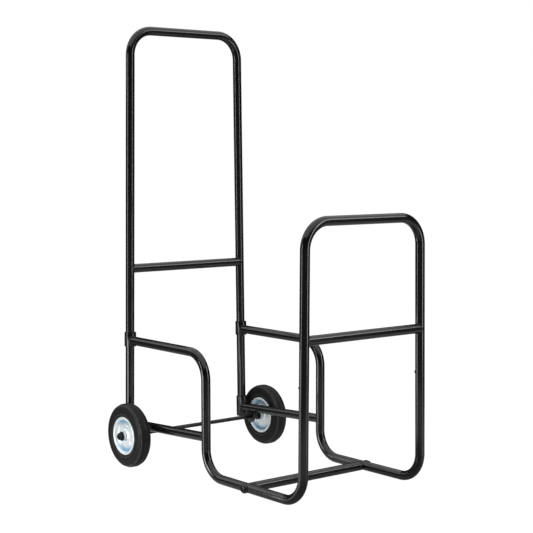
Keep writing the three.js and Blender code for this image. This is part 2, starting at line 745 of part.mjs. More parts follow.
function wheel(name) {
  const group = new THREE.Group();
  const inboard = (solid) => solid.rotate([0, 0, 180]);
  const hubHalf = HUB_END - BUSH_FLANGE_THICKNESS - CLEARANCE;
  const hub = ring(-hubHalf, hubHalf, HUB_OD / 2, HUB_OD / 2 - HUB_WALL, RIM_SIDES);
  group.add(piece(`${name}_tyre`, tyre(), rubber()));
  group.add(piece(`${name}_outer_rim`, rimDisc(), brightZinc()));
  group.add(piece(`${name}_inner_rim`, inboardRim(), brightZinc()));
  group.add(piece(`${name}_hub_tube`, hub, brightZinc()));
  group.add(piece(`${name}_outer_bush`, bush(), blackNylon()));
  group.add(piece(`${name}_inner_bush`, inboard(bush()), blackNylon()));
  for (let k = 0; k < RIVET_COUNT; k++) {
    const mesh = piece(`${name}_rivet_${k + 1}`, rivet(), brightZinc());
    mesh.position.set(0, ...rivetPlace(k));
    group.add(mesh);
  }
  return group;
}

// The inboard disc mirrors the outboard one, so that one rivet fits both.
function inboardRim() {
  return rimDisc().mirror([1, 0, 0]);
}

function addWheels(chassis, tip) {
  for (const { name, sign } of SIDES) {
    const group = wheel(name);
    group.position.set(sign * wheelOffset, -AXLE_FORWARD, AXLE_HEIGHT);
    // Turned back level, so that a flat of the tread lies on the floor.
    group.rotation.set(-tip, 0, sign < 0 ? Math.PI : 0);
    chassis.add(group);
  }
}

// ---- Assembly -----------------------------------------------------------------------------

function logCart() {
  const chassis = new THREE.Group();
  addHandle(chassis);
  for (const side of SIDES) {
    addSleeves(chassis, side);
    addHandlePlug(chassis, side);
    addSideTubes(chassis, side);
  }
  addArch(chassis);
  addFloorBar(chassis);
  addAxle(chassis);

  const tip = tippingAngle();
  addWheels(chassis, tip);
  chassis.rotation.x = tip;

  // The origin is on the floor, under the middle of the whole cart.
  const cart = new THREE.Group();
  cart.add(chassis);
  cart.updateMatrixWorld(true);
  const box = new THREE.Box3().setFromObject(cart, true);
  const middle = box.getCenter(new THREE.Vector3());
  chassis.position.set(-middle.x, -middle.y, -box.min.z);
  return cart;
}

export default logCart();
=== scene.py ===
# %% [markdown]
# # A fireside log cart
#
# The cart is welded from one size of steel tube. A tall push handle stands over two small
# wheels, two bent side tubes make the cradle, and an arch closes the front. It is sprayed with
# black powder and baked, and its wheels have bright zinc-plated discs and solid rubber tyres.
#
# The solids from the CAD model come in first, as a fixed frame. Every piece made below takes
# the place of one of them, or lies on one, and rides on the same body.

# %% Load the fixed frame
import math

import bmesh
import bpy
from mathutils import Matrix, Vector


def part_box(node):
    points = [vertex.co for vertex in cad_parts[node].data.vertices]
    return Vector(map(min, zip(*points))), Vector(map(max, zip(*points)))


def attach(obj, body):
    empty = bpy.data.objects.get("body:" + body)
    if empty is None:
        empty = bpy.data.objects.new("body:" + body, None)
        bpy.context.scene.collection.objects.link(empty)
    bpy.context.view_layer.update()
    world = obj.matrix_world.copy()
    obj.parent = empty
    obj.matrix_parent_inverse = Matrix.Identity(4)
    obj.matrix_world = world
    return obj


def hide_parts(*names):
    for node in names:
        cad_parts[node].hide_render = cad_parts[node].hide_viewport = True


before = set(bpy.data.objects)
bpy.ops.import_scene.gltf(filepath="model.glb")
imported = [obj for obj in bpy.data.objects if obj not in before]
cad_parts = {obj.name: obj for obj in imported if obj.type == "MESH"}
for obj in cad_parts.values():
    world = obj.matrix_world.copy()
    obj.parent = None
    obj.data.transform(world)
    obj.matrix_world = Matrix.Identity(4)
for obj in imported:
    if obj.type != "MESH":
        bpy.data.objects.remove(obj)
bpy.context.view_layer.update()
scene = bpy.context.scene

# %% [markdown]
# ## The shop's own frame
#
# A welder builds the cart square, with the handle upright and the floor runs level. On its
# wheels it leans forward by a little over a degree, because the wheels reach lower than the
# floor runs do. So the pieces are drawn square, in millimetres, with y = 0 in the plane of the
# handle, the load towards -Y and z = 0 under the floor runs. One matrix then tips them. The
# angle is that of the floor, which touches the wheel's circle and the outside of the front bend.

# %% Driving sizes, in millimetres
TUBE_OD = 22
TUBE_WALL = 1.2
BEND_RADIUS = 62
HANDLE_HEIGHT = 1067.8
HANDLE_BASE_WIDTH = 358.9
HANDLE_TOP_WIDTH = 331.4
HANDLE_BAR_HEIGHT = 475.7
CRADLE_WIDTH = 353.6
CRADLE_LENGTH = 672.7
DROP_FORWARD = 322.9
RAIL_HEIGHT = 295.7
LOWER_TUBE_BACK_HEIGHT = 85.2
LOWER_TUBE_FRONT_HEIGHT = 100.7
ARCH_HEIGHT = 617.7
ARCH_TOP_WIDTH = 342
ARCH_BAR_HEIGHT = 363.6
SEAM_HEIGHT = 282
FLOOR_BAR_FORWARD = 481
AXLE_FORWARD = 52.3
AXLE_HEIGHT = 67.1
WHEEL_RADIUS = 78.9

R = TUBE_OD / 2
FLOOR_RUN = R


def at(x, y, z):
    """A point of the shop's frame."""
    return Vector((x, y, z))


def lerp(a, b, t):
    """The value between a and b at the share t of the way."""
    return a + (b - a) * t


def leg_x(z):
    """Half the distance between the handle's legs, at a height."""
    return lerp(HANDLE_BASE_WIDTH, HANDLE_TOP_WIDTH, z / HANDLE_HEIGHT) / 2


def front_leg_x(z):
    """Half the distance between the front legs, at a height."""
    share = (z - FLOOR_RUN) / (ARCH_HEIGHT - FLOOR_RUN)
    return lerp(CRADLE_WIDTH, ARCH_TOP_WIDTH, share) / 2


# %% Tip the shop's frame onto the wheels
MM = 0.001
bend_centre = (CRADLE_LENGTH - BEND_RADIUS, FLOOR_RUN + BEND_RADIUS)
along = bend_centre[0] - AXLE_FORWARD
up = AXLE_HEIGHT - bend_centre[1]
tip = math.asin((WHEEL_RADIUS - BEND_RADIUS - R) / math.hypot(along, up)) - math.atan2(up, along)

tyre_low, tyre_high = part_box("left_tyre")
axle_place = (tyre_low + tyre_high) / 2
wheel_centre = abs(axle_place.x)
axle_place.x = 0
CHASSIS = (
    Matrix.Translation(axle_place)
    @ Matrix.Rotation(tip, 4, "X")
    @ Matrix.Scale(MM, 4)
    @ Matrix.Translation((0, AXLE_FORWARD, -AXLE_HEIGHT))
)
print("tipped by", round(math.degrees(tip), 3), "degrees; axle at", axle_place[:])

# %% [markdown]
# ## The camera
#
# The photograph was taken from the front left with a long lens, a little above the handle's
# middle. The place below was solved from the outline of the tubes, in the shop's frame.

# %% Camera
CAMERA_PLACE = at(-2011.7, -2830.4, 757.1)
CAMERA_YAW = 0.67743
CAMERA_PITCH = 0.08223
CAMERA_ROLL = -0.0018
CAMERA_LENS = 90.89

level = math.cos(CAMERA_PITCH)
forward = at(math.sin(CAMERA_YAW) * level, math.cos(CAMERA_YAW) * level, -math.sin(CAMERA_PITCH))
level_right = Vector((math.cos(CAMERA_YAW), -math.sin(CAMERA_YAW), 0))
level_up = level_right.cross(forward)
right = math.cos(CAMERA_ROLL) * level_right + math.sin(CAMERA_ROLL) * level_up
upward = right.cross(forward)
turn = (Matrix.Rotation(tip, 3, "X") @ Matrix((right, upward, -forward)).transposed()).to_4x4()

camera = bpy.data.objects.new("camera", bpy.data.cameras.new("camera"))
camera.matrix_world = Matrix.Translation(CHASSIS @ CAMERA_PLACE) @ turn
camera.data.lens = CAMERA_LENS
camera.data.sensor_width = 36
camera.data.clip_end = 200
scene.collection.objects.link(camera)
scene.camera = camera
print("camera at", [round(v, 3) for v in camera.location])

# %% [markdown]
# ## Finishes
#
# Colours are given as they look on a screen, in hexadecimal, and turned to the linear values
# that light works with. One small function adds a shader node, sets it and links it.

# %% Helpers for materials


def colour(code):
    """The linear colour of an sRGB hex code."""
    channels = [int(code[i : i + 2], 16) / 255 for i in (0, 2, 4)]
    linear = [c / 12.92 if c <= 0.04045 else ((c + 0.055) / 1.055) ** 2.4 for c in channels]
    return (*linear, 1)


def node(tree, kind, inputs=None, **settings):
    """Adds a node. An input is a value, or the output socket that feeds it."""
    made = tree.nodes.new(f"ShaderNode{kind}")
    for name, value in settings.items():
        setattr(made, name, value)
    for name, value in (inputs or {}).items():
        if isinstance(value, bpy.types.NodeSocket):
            tree.links.new(value, made.inputs[name])
        else:
            made.inputs[name].default_value = value
    return made


def new_finish(name):
    """A material with a shader, and the Object coordinates that its patterns read."""
    material = bpy.data.materials.new(name)
    material.use_nodes = True
    tree = material.node_tree
    tree.nodes.clear()
    shader = node(tree, "BsdfPrincipled")
    node(tree, "OutputMaterial", {"Surface": shader.outputs["BSDF"]})
    place = node(tree, "TexCoord").outputs["Object"]
    return material, tree, shader, place


def grain(tree, place, size, detail=2):
    """Noise whose spots are about this many millimetres across."""
    scale = 1 / (size * MM)
    noise = node(tree, "TexNoise", {"Vector": place, "Scale": scale, "Detail": detail})
    return noise.outputs["Fac"]


def between(tree, share, low, high):
    """A number that goes from low to high as the noise goes from a quarter to three quarters."""
    limits = {"From Min": 0.25, "From Max": 0.75, "To Min": low, "To Max": high}
    return node(tree, "MapRange", {"Value": share, **limits}).outputs["Result"]


def blend_colours(tree, share, first, second):
    """A colour between two others. The first may come from another node."""
    mix = node(tree, "Mix", {"Factor": share}, data_type="RGBA")
    if isinstance(first, bpy.types.NodeSocket):
        tree.links.new(first, mix.inputs["A"])
    else:
        mix.inputs["A"].default_value = colour(first)
    mix.inputs["B"].default_value = colour(second)
    return mix.outputs["Result"]


def bump(tree, shader, height, depth, strength):
    """Presses a height pattern into a finish, so many millimetres deep."""
    links = {"Height": height, "Distance": depth * MM, "Strength": strength}
    made = node(tree, "Bump", links)
    tree.links.new(made.outputs["Normal"], shader.inputs["Normal"])


# %% [markdown]
# ### Powder coat on steel tube
#
# Polyester powder is sprayed on dry and melts in an oven. It flows together without quite
# levelling out, so a semi-gloss coat has a fine orange peel. It is a plastic skin, so it isn't
# metallic, its highlights are white, and they are broken a little by the peel. The real peel is
# about a millimetre across. It is drawn coarser, or the photograph's size would hide it.

# %% Powder coat
PEEL_SIZE = 2.4
PEEL_DEPTH = 0.05
powder_coat, tree, shader, place = new_finish("powder_coat_semi_gloss")
cloud = grain(tree, place, 60)
tree.links.new(blend_colours(tree, cloud, "090909", "0e0e0d"), shader.inputs["Base Color"])
tree.links.new(between(tree, grain(tree, place, 14), 0.13, 0.19), shader.inputs["Roughness"])
shader.inputs["IOR"].default_value = 1.5
bump(tree, shader, grain(tree, place, PEEL_SIZE, detail=1), PEEL_DEPTH, 0.4)

# %% [markdown]
# ### Black zinc on screws, nuts and the axle
#
# Steel hardware is zinc plated and dyed black. The dye is thin, so the metal's own gloss shows
# through it as a dark metallic sheen, and it is never quite even: its clouds are a few
# millimetres across.

# %% Black zinc
black_zinc, tree, shader, place = new_finish("black_zinc_plate")
cloud = grain(tree, place, 5)
tree.links.new(blend_colours(tree, cloud, "222224", "303033"), shader.inputs["Base Color"])
tree.links.new(between(tree, grain(tree, place, 3), 0.2, 0.3), shader.inputs["Roughness"])
shader.inputs["Metallic"].default_value = 0.85
bump(tree, shader, grain(tree, place, 0.8), 0.01, 0.4)

# %% [markdown]
# ### Bright zinc on the wheel discs, with a painted blue reflection
#
# The pressed discs are zinc plated and dipped in a clear passivate, which leaves the metal white
# to faintly blue in random clouds. Stronger blue is painted on the wall of the dish, at the top
# and at
# the bottom: a painted reflection, following the distance from the axle and the height beside it.
# The plate is fine-grained and a little chalky, and sends back soft light as well as reflections,
# so it is mixed from metal and white rather than left a mirror.

# %% Where a point lies on its wheel


def from_axle(tree, place):
    """A place measured from the axle, by a Mapping node, and its distance from the axle."""
    centred = node(tree, "Mapping", {"Vector": place, "Location": -axle_place}).outputs["Vector"]
    flat = node(tree, "VectorMath", {0: centred, 1: (0, 1, 1)}, operation="MULTIPLY")
    radius = node(tree, "VectorMath", {0: flat.outputs["Vector"]}, operation="LENGTH")
    return centred, radius.outputs["Value"]


# %% Bright zinc
bright_zinc, tree, shader, place = new_finish("bright_zinc_painted_reflection")
centred, radius = from_axle(tree, place)
RAMP_RADIUS = 50
DISH_WALL = ((27, "000000"), (36, "ffffff"), (38.5, "ffffff"), (41, "000000"))
share = node(tree, "Math", {0: radius, 1: RAMP_RADIUS * MM}, operation="DIVIDE").outputs["Value"]
bands = node(tree, "ValToRGB", {"Fac": share})
for end in bands.color_ramp.elements:
    end.color = colour("000000")
for distance, code in DISH_WALL:
    bands.color_ramp.elements.new(distance / RAMP_RADIUS).color = colour(code)

# Painted reflection: blue laid on the dish wall at its top and bottom, by height beside the axle
# and distance from it.
height = node(tree, "SeparateXYZ", {"Vector": centred}).outputs["Z"]
steepness = node(tree, "Math", {0: height, 1: radius}, operation="DIVIDE").outputs["Value"]
upright = node(tree, "Math", {0: steepness}, operation="ABSOLUTE").outputs["Value"]
painted_reflection_range = {"From Min": 0.5, "From Max": 0.95, "To Min": 0.0, "To Max": 0.9}
painted_reflection_spots = node(tree, "MapRange", {"Value": upright, **painted_reflection_range}).outputs["Result"]
painted_blue_reflection = node(tree, "Math", {0: painted_reflection_spots, 1: bands.outputs["Color"]}, operation="MULTIPLY")
clear = blend_colours(tree, between(tree, grain(tree, place, 14), 0, 1), "fcfefe", "e2eff4")
zinc_and_painted_reflection = blend_colours(tree, painted_blue_reflection.outputs["Value"], clear, "6aa6c8")
tree.links.new(zinc_and_painted_reflection, shader.inputs["Base Color"])
tree.links.new(between(tree, grain(tree, place, 9), 0.3, 0.4), shader.inputs["Roughness"])
shader.inputs["Metallic"].default_value = 0.45
bump(tree, shader, grain(tree, place, 12), 0.12, 0.35)

# %% [markdown]
# ### Solid rubber
#
# The tyres are moulded in black rubber filled with carbon. The mould is matt, and a bloom of
# wax makes the surface greyer in places, so it is dark and dull, with broad soft highlights.
# Light grey is painted in the grooves between the ribs and on the ring beside the rim: painted
# highlights, drawn as the thin light lines round the tyre. The pattern reads how far a point
# lies across the tread and how far from the axle. The grain of the mould is drawn coarser than
# it is, so that it still shows.

# %% Rubber
RIB_PITCH = 9.2
BEAD_RING = 53
BEAD_RING_HALF_WIDTH = 1.1

rubber, tree, shader, place = new_finish("moulded_rubber")
cloud = grain(tree, place, 25, detail=4)
black = blend_colours(tree, cloud, "111111", "1a1a19")
from_middle = node(tree, "SeparateXYZ", {"Vector": place}).outputs["X"]
outward = node(tree, "Math", {0: from_middle}, operation="ABSOLUTE").outputs["Value"]
across = node(tree, "Math", {0: outward, 1: wheel_centre}, operation="SUBTRACT").outputs["Value"]
half_pitch = RIB_PITCH / 2 * MM
from_rib = node(tree, "Math", {0: across, 1: half_pitch}, operation="PINGPONG").outputs["Value"]
# Painted highlights: light grey laid in the grooves and on the ring beside the rim, for the light
# lines round the tyre.
groove = {"From Min": 2.4 * MM, "From Max": 3.8 * MM, "To Min": 0.0, "To Max": 0.42}
in_grooves = node(tree, "MapRange", {"Value": from_rib, **groove}).outputs["Result"]

radius = from_axle(tree, place)[1]
band = {0: radius, 1: BEAD_RING * MM, 2: BEAD_RING_HALF_WIDTH * MM}
on_ring = node(tree, "Math", band, operation="COMPARE").outputs["Value"]
painted_ring_highlight = node(tree, "Math", {0: on_ring, 1: 0.3}, operation="MULTIPLY").outputs["Value"]
painted_highlight_lines = node(tree, "Math", {0: in_grooves, 1: painted_ring_highlight}, operation="MAXIMUM").outputs["Value"]
patches = between(tree, grain(tree, place, 9), 0.15, 1)
painted_highlight_share = node(tree, "Math", {0: painted_highlight_lines, 1: patches}, operation="MULTIPLY").outputs["Value"]
tree.links.new(blend_colours(tree, painted_highlight_share, black, "6a6c6d"), shader.inputs["Base Color"])
tree.links.new(between(tree, grain(tree, place, 7), 0.44, 0.58), shader.inputs["Roughness"])
shader.inputs["Specular IOR Level"].default_value = 0.2
bump(tree, shader, grain(tree, place, 2.2), 0.12, 0.5)

# %% [markdown]
# ### Moulded nylon
#
# Bushes, plugs, saddle washers and inserts are black nylon straight from the mould, with the
# faint grain of a spark-eroded tool.

# %% Nylon
nylon, tree, shader, place = new_finish("moulded_nylon")
cloud = grain(tree, place, 10)
tree.links.new(blend_colours(tree, cloud, "0e0e0e", "151515"), shader.inputs["Base Color"])
tree.links.new(between(tree, grain(tree, place, 4), 0.42, 0.5), shader.inputs["Roughness"])
bump(tree, shader, grain(tree, place, 0.7), 0.02, 0.4)

# %% [markdown]
# ## Helpers for shapes
#
# A tube bender clamps straight tube and draws it round a former. The same two moves make a tube
# here: a ring of edges is extruded along each straight and spun round each bend. Turned pieces
# are a profile spun round the axle's direction. Everything is in the shop's frame until a piece
# is finished, when one matrix takes it to its place.

# %% Rings, pushes and bends
TUBE_SIDES = 48
BEND_STEPS = 24
# Edges sharper than this stay sharp, and points closer than this count as one level.
SHARP = math.radians(38)
NEAR = 0.01


def parts_of(geometry, kind):
    """The vertices or the edges in an operator's result."""
    return [g for g in geometry if isinstance(g, kind)]


def corners_of(edges):
    """The vertices of some edges, each once."""
    return list({v for e in edges for v in e.verts})


def ring(bm, point, heading, radius, sides=TUBE_SIDES):
    """A circle of edges round a point, square to a heading."""
    facing = Vector((0, 0, 1)).rotation_difference(heading).to_matrix().to_4x4()
    matrix = Matrix.Translation(point) @ facing
    made = bmesh.ops.create_circle(bm, segments=sides, radius=radius, matrix=matrix)
    return list({e for v in made["verts"] for e in v.link_edges})


def push(bm, edges, step):
    """Extrudes a ring of edges and moves the new ring by a step."""
    made = bmesh.ops.extrude_edge_only(bm, edges=edges)["geom"]
    moved = set(parts_of(made, bmesh.types.BMVert))
    bmesh.ops.translate(bm, vec=step, verts=list(moved))
    return [e for e in parts_of(made, bmesh.types.BMEdge) if moved.issuperset(e.verts)]


def shrink(bm, edges, centre, factor):
    """Extrudes a ring of edges and scales the new ring about its centre."""
    moved = push(bm, edges, Vector())
    scale = Matrix.Scale(factor, 4)
    space = Matrix.Translation(-centre)
    bmesh.ops.transform(bm, matrix=scale, space=space, verts=corners_of(moved))
    return moved


def tube(corners):
    """A bent tube, still open, with its first and last ring of edges."""
    bm = bmesh.new()
    here = corners[0]
    first = last = ring(bm, here, (corners[1] - here).normalized(), R)
    for before, corner, after in zip(corners, corners[1:], corners[2:]):
        arriving = (corner - before).normalized()
        leaving = (after - corner).normalized()
        angle = arriving.angle(leaving)
        start = corner - arriving * BEND_RADIUS * math.tan(angle / 2)
        last = push(bm, last, start - here)
        axis = arriving.cross(leaving).normalized()
        cent = start + axis.cross(arriving) * BEND_RADIUS
        steps = round(BEND_STEPS * angle / (math.pi / 2))
        geom = last + corners_of(last)
        spun = bmesh.ops.spin(bm, geom=geom, cent=cent, axis=axis, angle=angle, steps=steps)
        last = parts_of(spun["geom_last"], bmesh.types.BMEdge)
        here = corner + leaving * BEND_RADIUS * math.tan(angle / 2)
    last = push(bm, last, corners[-1] - here)
    return bm, first, last


# %% Tube ends


def cope(edges, heading, point, axis, radius):
    """Cuts a tube's end to the shape of a tube that it meets.

    The end ring starts on the other tube's axis. Each of its corners slides back along the
    tube until it lies on the other tube's surface.
    """
    for v in corners_of(edges):
        offset = v.co - point
        flat_offset = offset - axis * offset.dot(axis)
        flat_heading = heading - axis * heading.dot(axis)
        a = flat_heading.length_squared
        b = flat_offset.dot(flat_heading)
        c = flat_offset.length_squared - radius**2
        v.co -= heading * (b + math.sqrt(max(0.0, b * b - a * c))) / a


def close(bm, edges):
    """Fills an end that nothing sees, inside the piece that it meets."""
    bmesh.ops.edgeloop_fill(bm, edges=edges)


EDGE_ROUND = 0.7


def round_end(bm, edges, centre, heading):
    """Rolls a tube's edge over to a small radius and closes the end a little way in."""
    rolled = push(bm, edges, heading * EDGE_ROUND * 0.3)
    rolled = shrink(bm, rolled, centre, 1 - 0.3 * EDGE_ROUND / R)
    rolled = push(bm, rolled, heading * EDGE_ROUND * 0.4)
    rolled = shrink(bm, rolled, centre, 1 - 0.7 * EDGE_ROUND / R)
    close(bm, rolled)


def in_order(edges):
    """The corners of a closed ring of edges, one after another."""
    following = {}
    for e in edges:
        for v in e.verts:
            following.setdefault(v, []).append(e.other_vert(v))
    start = min(following, key=lambda v: v.index)
    line = [start]
    before, here = start, following[start][0]
    while here is not start:
        line.append(here)
        ahead = following[here]
        before, here = here, ahead[1] if ahead[0] is before else ahead[0]
    return [v.co.copy() for v in line]


# %% [markdown]
# A weld is a row of overlapping drops of metal that froze one after another. So the bead is a
# thin rod round the joint whose thickness swells and shrinks every three millimetres. Under
# powder coat the ripples are soft.

# %% Weld beads
BEAD_RADIUS = 1.7
BEAD_RIPPLE = 0.1
BEAD_PITCH = 3
BEAD_STEP = 0.9
BEAD_SMOOTHING = 10
BEAD_SIDES = 10


def evenly(points, step):
    """Points at even steps round a closed line."""
    closed = points + points[:1]
    lengths = [(b - a).length for a, b in zip(closed, closed[1:])]
    count = round(sum(lengths) / step)
    spaced, passed, i = [], 0.0, 0
    for k in range(count):
        wanted = sum(lengths) * k / count
        while passed + lengths[i] < wanted:
            passed += lengths[i]
            i += 1
        spaced.append(closed[i].lerp(closed[i + 1], (wanted - passed) / lengths[i]))
    return spaced


def bead(points):
    """A rippled rod round a closed line of points, pushed and turned on from ring to ring."""
    for _ in range(BEAD_SMOOTHING):
        points = [
            (points[k - 1] + 2 * points[k] + points[(k + 1) % len(points)]) / 4
            for k in range(len(points))
        ]
    line = evenly(points, BEAD_STEP)
    headings = [(line[(k + 1) % len(line)] - line[k - 1]).normalized() for k in range(len(line))]
    ripples = max(1, round(len(line) * BEAD_STEP / BEAD_PITCH))
    bm = bmesh.new()
    first = last = ring(bm, line[0], headings[0], BEAD_RADIUS, BEAD_SIDES)
    for k in range(1, len(line)):
        last = push(bm, last, line[k] - line[k - 1])
        turn = headings[k - 1].rotation_difference(headings[k]).to_matrix().to_4x4()
        space = Matrix.Translation(-line[k])
        before = 1 + BEAD_RIPPLE * math.cos(math.tau * ripples * (k - 1) / len(line))
        swell = (1 + BEAD_RIPPLE * math.cos(math.tau * ripples * k / len(line))) / before
        matrix = turn @ Matrix.Scale(swell, 4)
        bmesh.ops.transform(bm, matrix=matrix, space=space, verts=corners_of(last))
    bmesh.ops.bridge_loops(bm, edges=first + last)
    return bm


# %% Turned pieces
TURN_STEPS = 64
SMALL_TURN_STEPS = 32
DEBURRED = 0.5
FINE_EDGE = 0.4


def turned(profile, steps=TURN_STEPS):
    """Spins (x, radius) points round the X axis. A profile that leaves the axis is closed."""
    bm = bmesh.new()
    verts = [bm.verts.new((x, radius, 0)) for x, radius in profile]
    for a, b in zip(verts, verts[1:]):
        bm.edges.new((a, b))
    if profile[0][1] > 0:
        bm.edges.new((verts[-1], verts[0]))
    geom = bm.verts[:] + bm.edges[:]
    full = {"cent": (0, 0, 0), "axis": (1, 0, 0), "angle": math.tau, "use_merge": True}
    bmesh.ops.spin(bm, geom=geom, steps=steps, **full)
    bmesh.ops.remove_doubles(bm, verts=bm.verts[:], dist=1e-4)
    bmesh.ops.recalc_face_normals(bm, faces=bm.faces[:])
    return bm


def hoop(from_x, to_x, bore, radius):
    """A plain ring round the X axis."""
    return turned([(from_x, bore), (to_x, bore), (to_x, radius), (from_x, radius)])


def soften(bm, width=DEBURRED, segments=2):
    """Rounds every sharp edge of a closed piece."""
    edges = [e for e in bm.edges if len(e.link_faces) == 2 and e.calc_face_angle() > SHARP]
    bevel = {"affect": "EDGES", "profile": 0.5, "material": -1}
    bmesh.ops.bevel(bm, geom=edges, offset=width, segments=segments, **bevel)
    return bm


def joined(*pieces):
    """Several shapes as one mesh."""
    whole = bmesh.new()
    for bm in pieces:
        carrier = bpy.data.meshes.new("carrier")
        bm.to_mesh(carrier)
        bm.free()
        whole.from_mesh(carrier)
        bpy.data.meshes.remove(carrier)
    return whole


# %% Finish a piece
made_pieces = []


def as_object(name, bm, finish):
    """A shape as an object of the scene, in its finish."""
    mesh = bpy.data.meshes.new(name)
    bm.to_mesh(mesh)
    bm.free()
    mesh.materials.append(finish)
    made = bpy.data.objects.new(name, mesh)
    scene.collection.objects.link(made)
    return made


def finish_piece(name, bm, body, finish, matrix=CHASSIS):
    """Takes a shape to its place, gives it its finish and lets it ride on its body."""
    bm.transform(matrix)
    bmesh.ops.recalc_face_normals(bm, faces=bm.faces[:])
    for face in bm.faces:
        face.smooth = True
    for edge in bm.edges:
        edge.smooth = len(edge.link_faces) != 2 or edge.calc_face_angle() < SHARP
    piece = as_object(name, bm, finish)
    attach(piece, body)
    made_pieces.append(piece)
    return piece


def dress(cad_node, bm, finish, body="chassis", matrix=CHASSIS):
    """A finished piece that stands for one CAD node."""
    piece = finish_piece(f"{cad_node}_fine", bm, body, finish, matrix)
    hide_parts(cad_node)


def coat(cad_node, bm, matrix=CHASSIS):
    """A powder-coated piece of the frame."""
    dress(cad_node, bm, powder_coat, matrix=matrix)


def weld(name, edges):
    """A bead along a coped end."""
    finish_piece(name, bead(in_order(edges)), "chassis", powder_coat)


def facing_out(sign):
    """Turns a piece that points along +X to point away from the cart's middle."""
    return Matrix.Rotation(0 if sign > 0 else math.pi, 4, "Z")


SIDES = (("left", -1), ("right", 1))

# %% [markdown]
# ## Push handle
#
# One length of tube bent twice to an upside-down U, a crossbar welded between its legs, and a
# nylon plug in each open foot. The legs close in by a few millimetres towards the top.

# %% Sleeve and handle sizes
SLEEVE_OD = 29.4
SLEEVE_WALL = 1.8
UPPER_SLEEVE_LENGTH = 35.5
LOWER_SLEEVE_LENGTH = 52.7
SLEEVE_RISE = 2.5
CLEARANCE = 0.3
PLUG_FLANGE = 2.5
PLUG_STEM = 12
PLUG_EDGE = 0.6

sleeve_radius = SLEEVE_OD / 2
sleeve_bore = sleeve_radius - SLEEVE_WALL
sleeve_setback = sleeve_bore - R - CLEARANCE
fits_inside = R - TUBE_WALL - CLEARANCE
lower_sleeve_height = LOWER_TUBE_BACK_HEIGHT + SLEEVE_RISE
upper_sleeve_height = RAIL_HEIGHT + SLEEVE_RISE
handle_foot = lower_sleeve_height - LOWER_SLEEVE_LENGTH / 2 + PLUG_FLANGE + CLEARANCE

# %% Upside-down U tubes and their crossbars


def legs_and_top(half_width, y, foot, top):
    """Corners of an upside-down U, up its left leg, across the top and down its right leg."""
    corners = ((-1, foot), (-1, top), (1, top), (1, foot))
    return [at(sign * half_width(z), y, z) for sign, z in corners]


def crossbar(cad_node, half_width, z, corners):
    """A straight bar along X, coped to both legs of an upside-down U and welded to them."""
    end = half_width(z)
    bm, first, last = tube([at(-end, corners[0].y, z), at(end, corners[0].y, z)])
    for side, edges, heading, (low, high) in (
        ("left", first, at(-1, 0, 0), corners[:2]),
        ("right", last, at(1, 0, 0), corners[:1:-1]),
    ):
        cope(edges, heading, low, (high - low).normalized(), R)
        weld(f"{side}_{cad_node}_weld", edges)
        close(bm, edges)
    coat(cad_node, bm)


# %% Handle tube, crossbar and plugs
handle_corners = legs_and_top(leg_x, 0, handle_foot, HANDLE_HEIGHT)
bm, first, last = tube(handle_corners)
close(bm, first)
close(bm, last)
coat("handle_frame", bm)
crossbar("handle_crossbar", leg_x, HANDLE_BAR_HEIGHT, handle_corners)

stem = [(0, fits_inside), (PLUG_STEM, fits_inside - 0.7), (PLUG_STEM, 0)]
plug_profile = [(-PLUG_FLANGE, 0), (-PLUG_FLANGE, R), (0, R)] + stem
for side, sign in SIDES:
    plug = soften(turned(plug_profile), PLUG_EDGE)
    foot = at(sign * leg_x(handle_foot), 0, handle_foot - CLEARANCE)
    upright = Matrix.Translation(foot) @ Matrix.Rotation(-math.pi / 2, 4, "Y")
    dress(f"{side}_handle_plug", plug, nylon, matrix=CHASSIS @ upright)

# %% [markdown]
# ## Sleeves
#
# Each leg of the handle drops through two short sleeves and is screwed to them from behind, so
# that the handle can be taken off. A sleeve is a slice of wider tube, cut square and deburred.

# %% Sleeves


def sleeve(sign, height, length):
    """A short open tube round a leg, its rims rounded by the deburring."""
    half = length / 2
    bm = soften(hoop(-half, half, sleeve_bore, sleeve_radius), segments=3)
    lean = math.atan2(leg_x(height + half) - leg_x(height - half), length)
    middle = at(sign * leg_x(height), -sleeve_setback, height)
    upright = Matrix.Rotation(sign * lean, 4, "Y") @ Matrix.Rotation(-math.pi / 2, 4, "Y")
    bm.transform(Matrix.Translation(middle) @ upright)
    return bm


for side, sign in SIDES:
    for level, height, length in (
        ("upper", upper_sleeve_height, UPPER_SLEEVE_LENGTH),
        ("lower", lower_sleeve_height, LOWER_SLEEVE_LENGTH),
    ):
        coat(f"{side}_{level}_sleeve", sleeve(sign, height, length))

# %% [markdown]
# ## Side tubes
#
# Each side tube is a single piece with three bends: a rail forward from the upper sleeve, a drop
# to the floor, a floor run that carries the logs, and a front leg. The lower side tube ties the
# lower sleeve to the drop and rises a little on the way. Coped ends are welded all round.

# %% Side tubes


def sleeve_axis(sign, height):
    """A point and the direction of a sleeve's axis."""
    point = at(sign * leg_x(height), -sleeve_setback, height)
    above = at(sign * leg_x(height + 100), -sleeve_setback, height + 100)
    return point, (above - point).normalized()


def lower_tube_point(sign, distance):
    """A point on a lower side tube's centreline, so far in front of the handle."""
    share = distance / DROP_FORWARD
    x = lerp(leg_x(LOWER_TUBE_BACK_HEIGHT), CRADLE_WIDTH / 2, share)
    z = lerp(LOWER_TUBE_BACK_HEIGHT, LOWER_TUBE_FRONT_HEIGHT, share)
    return at(sign * x, -distance, z)


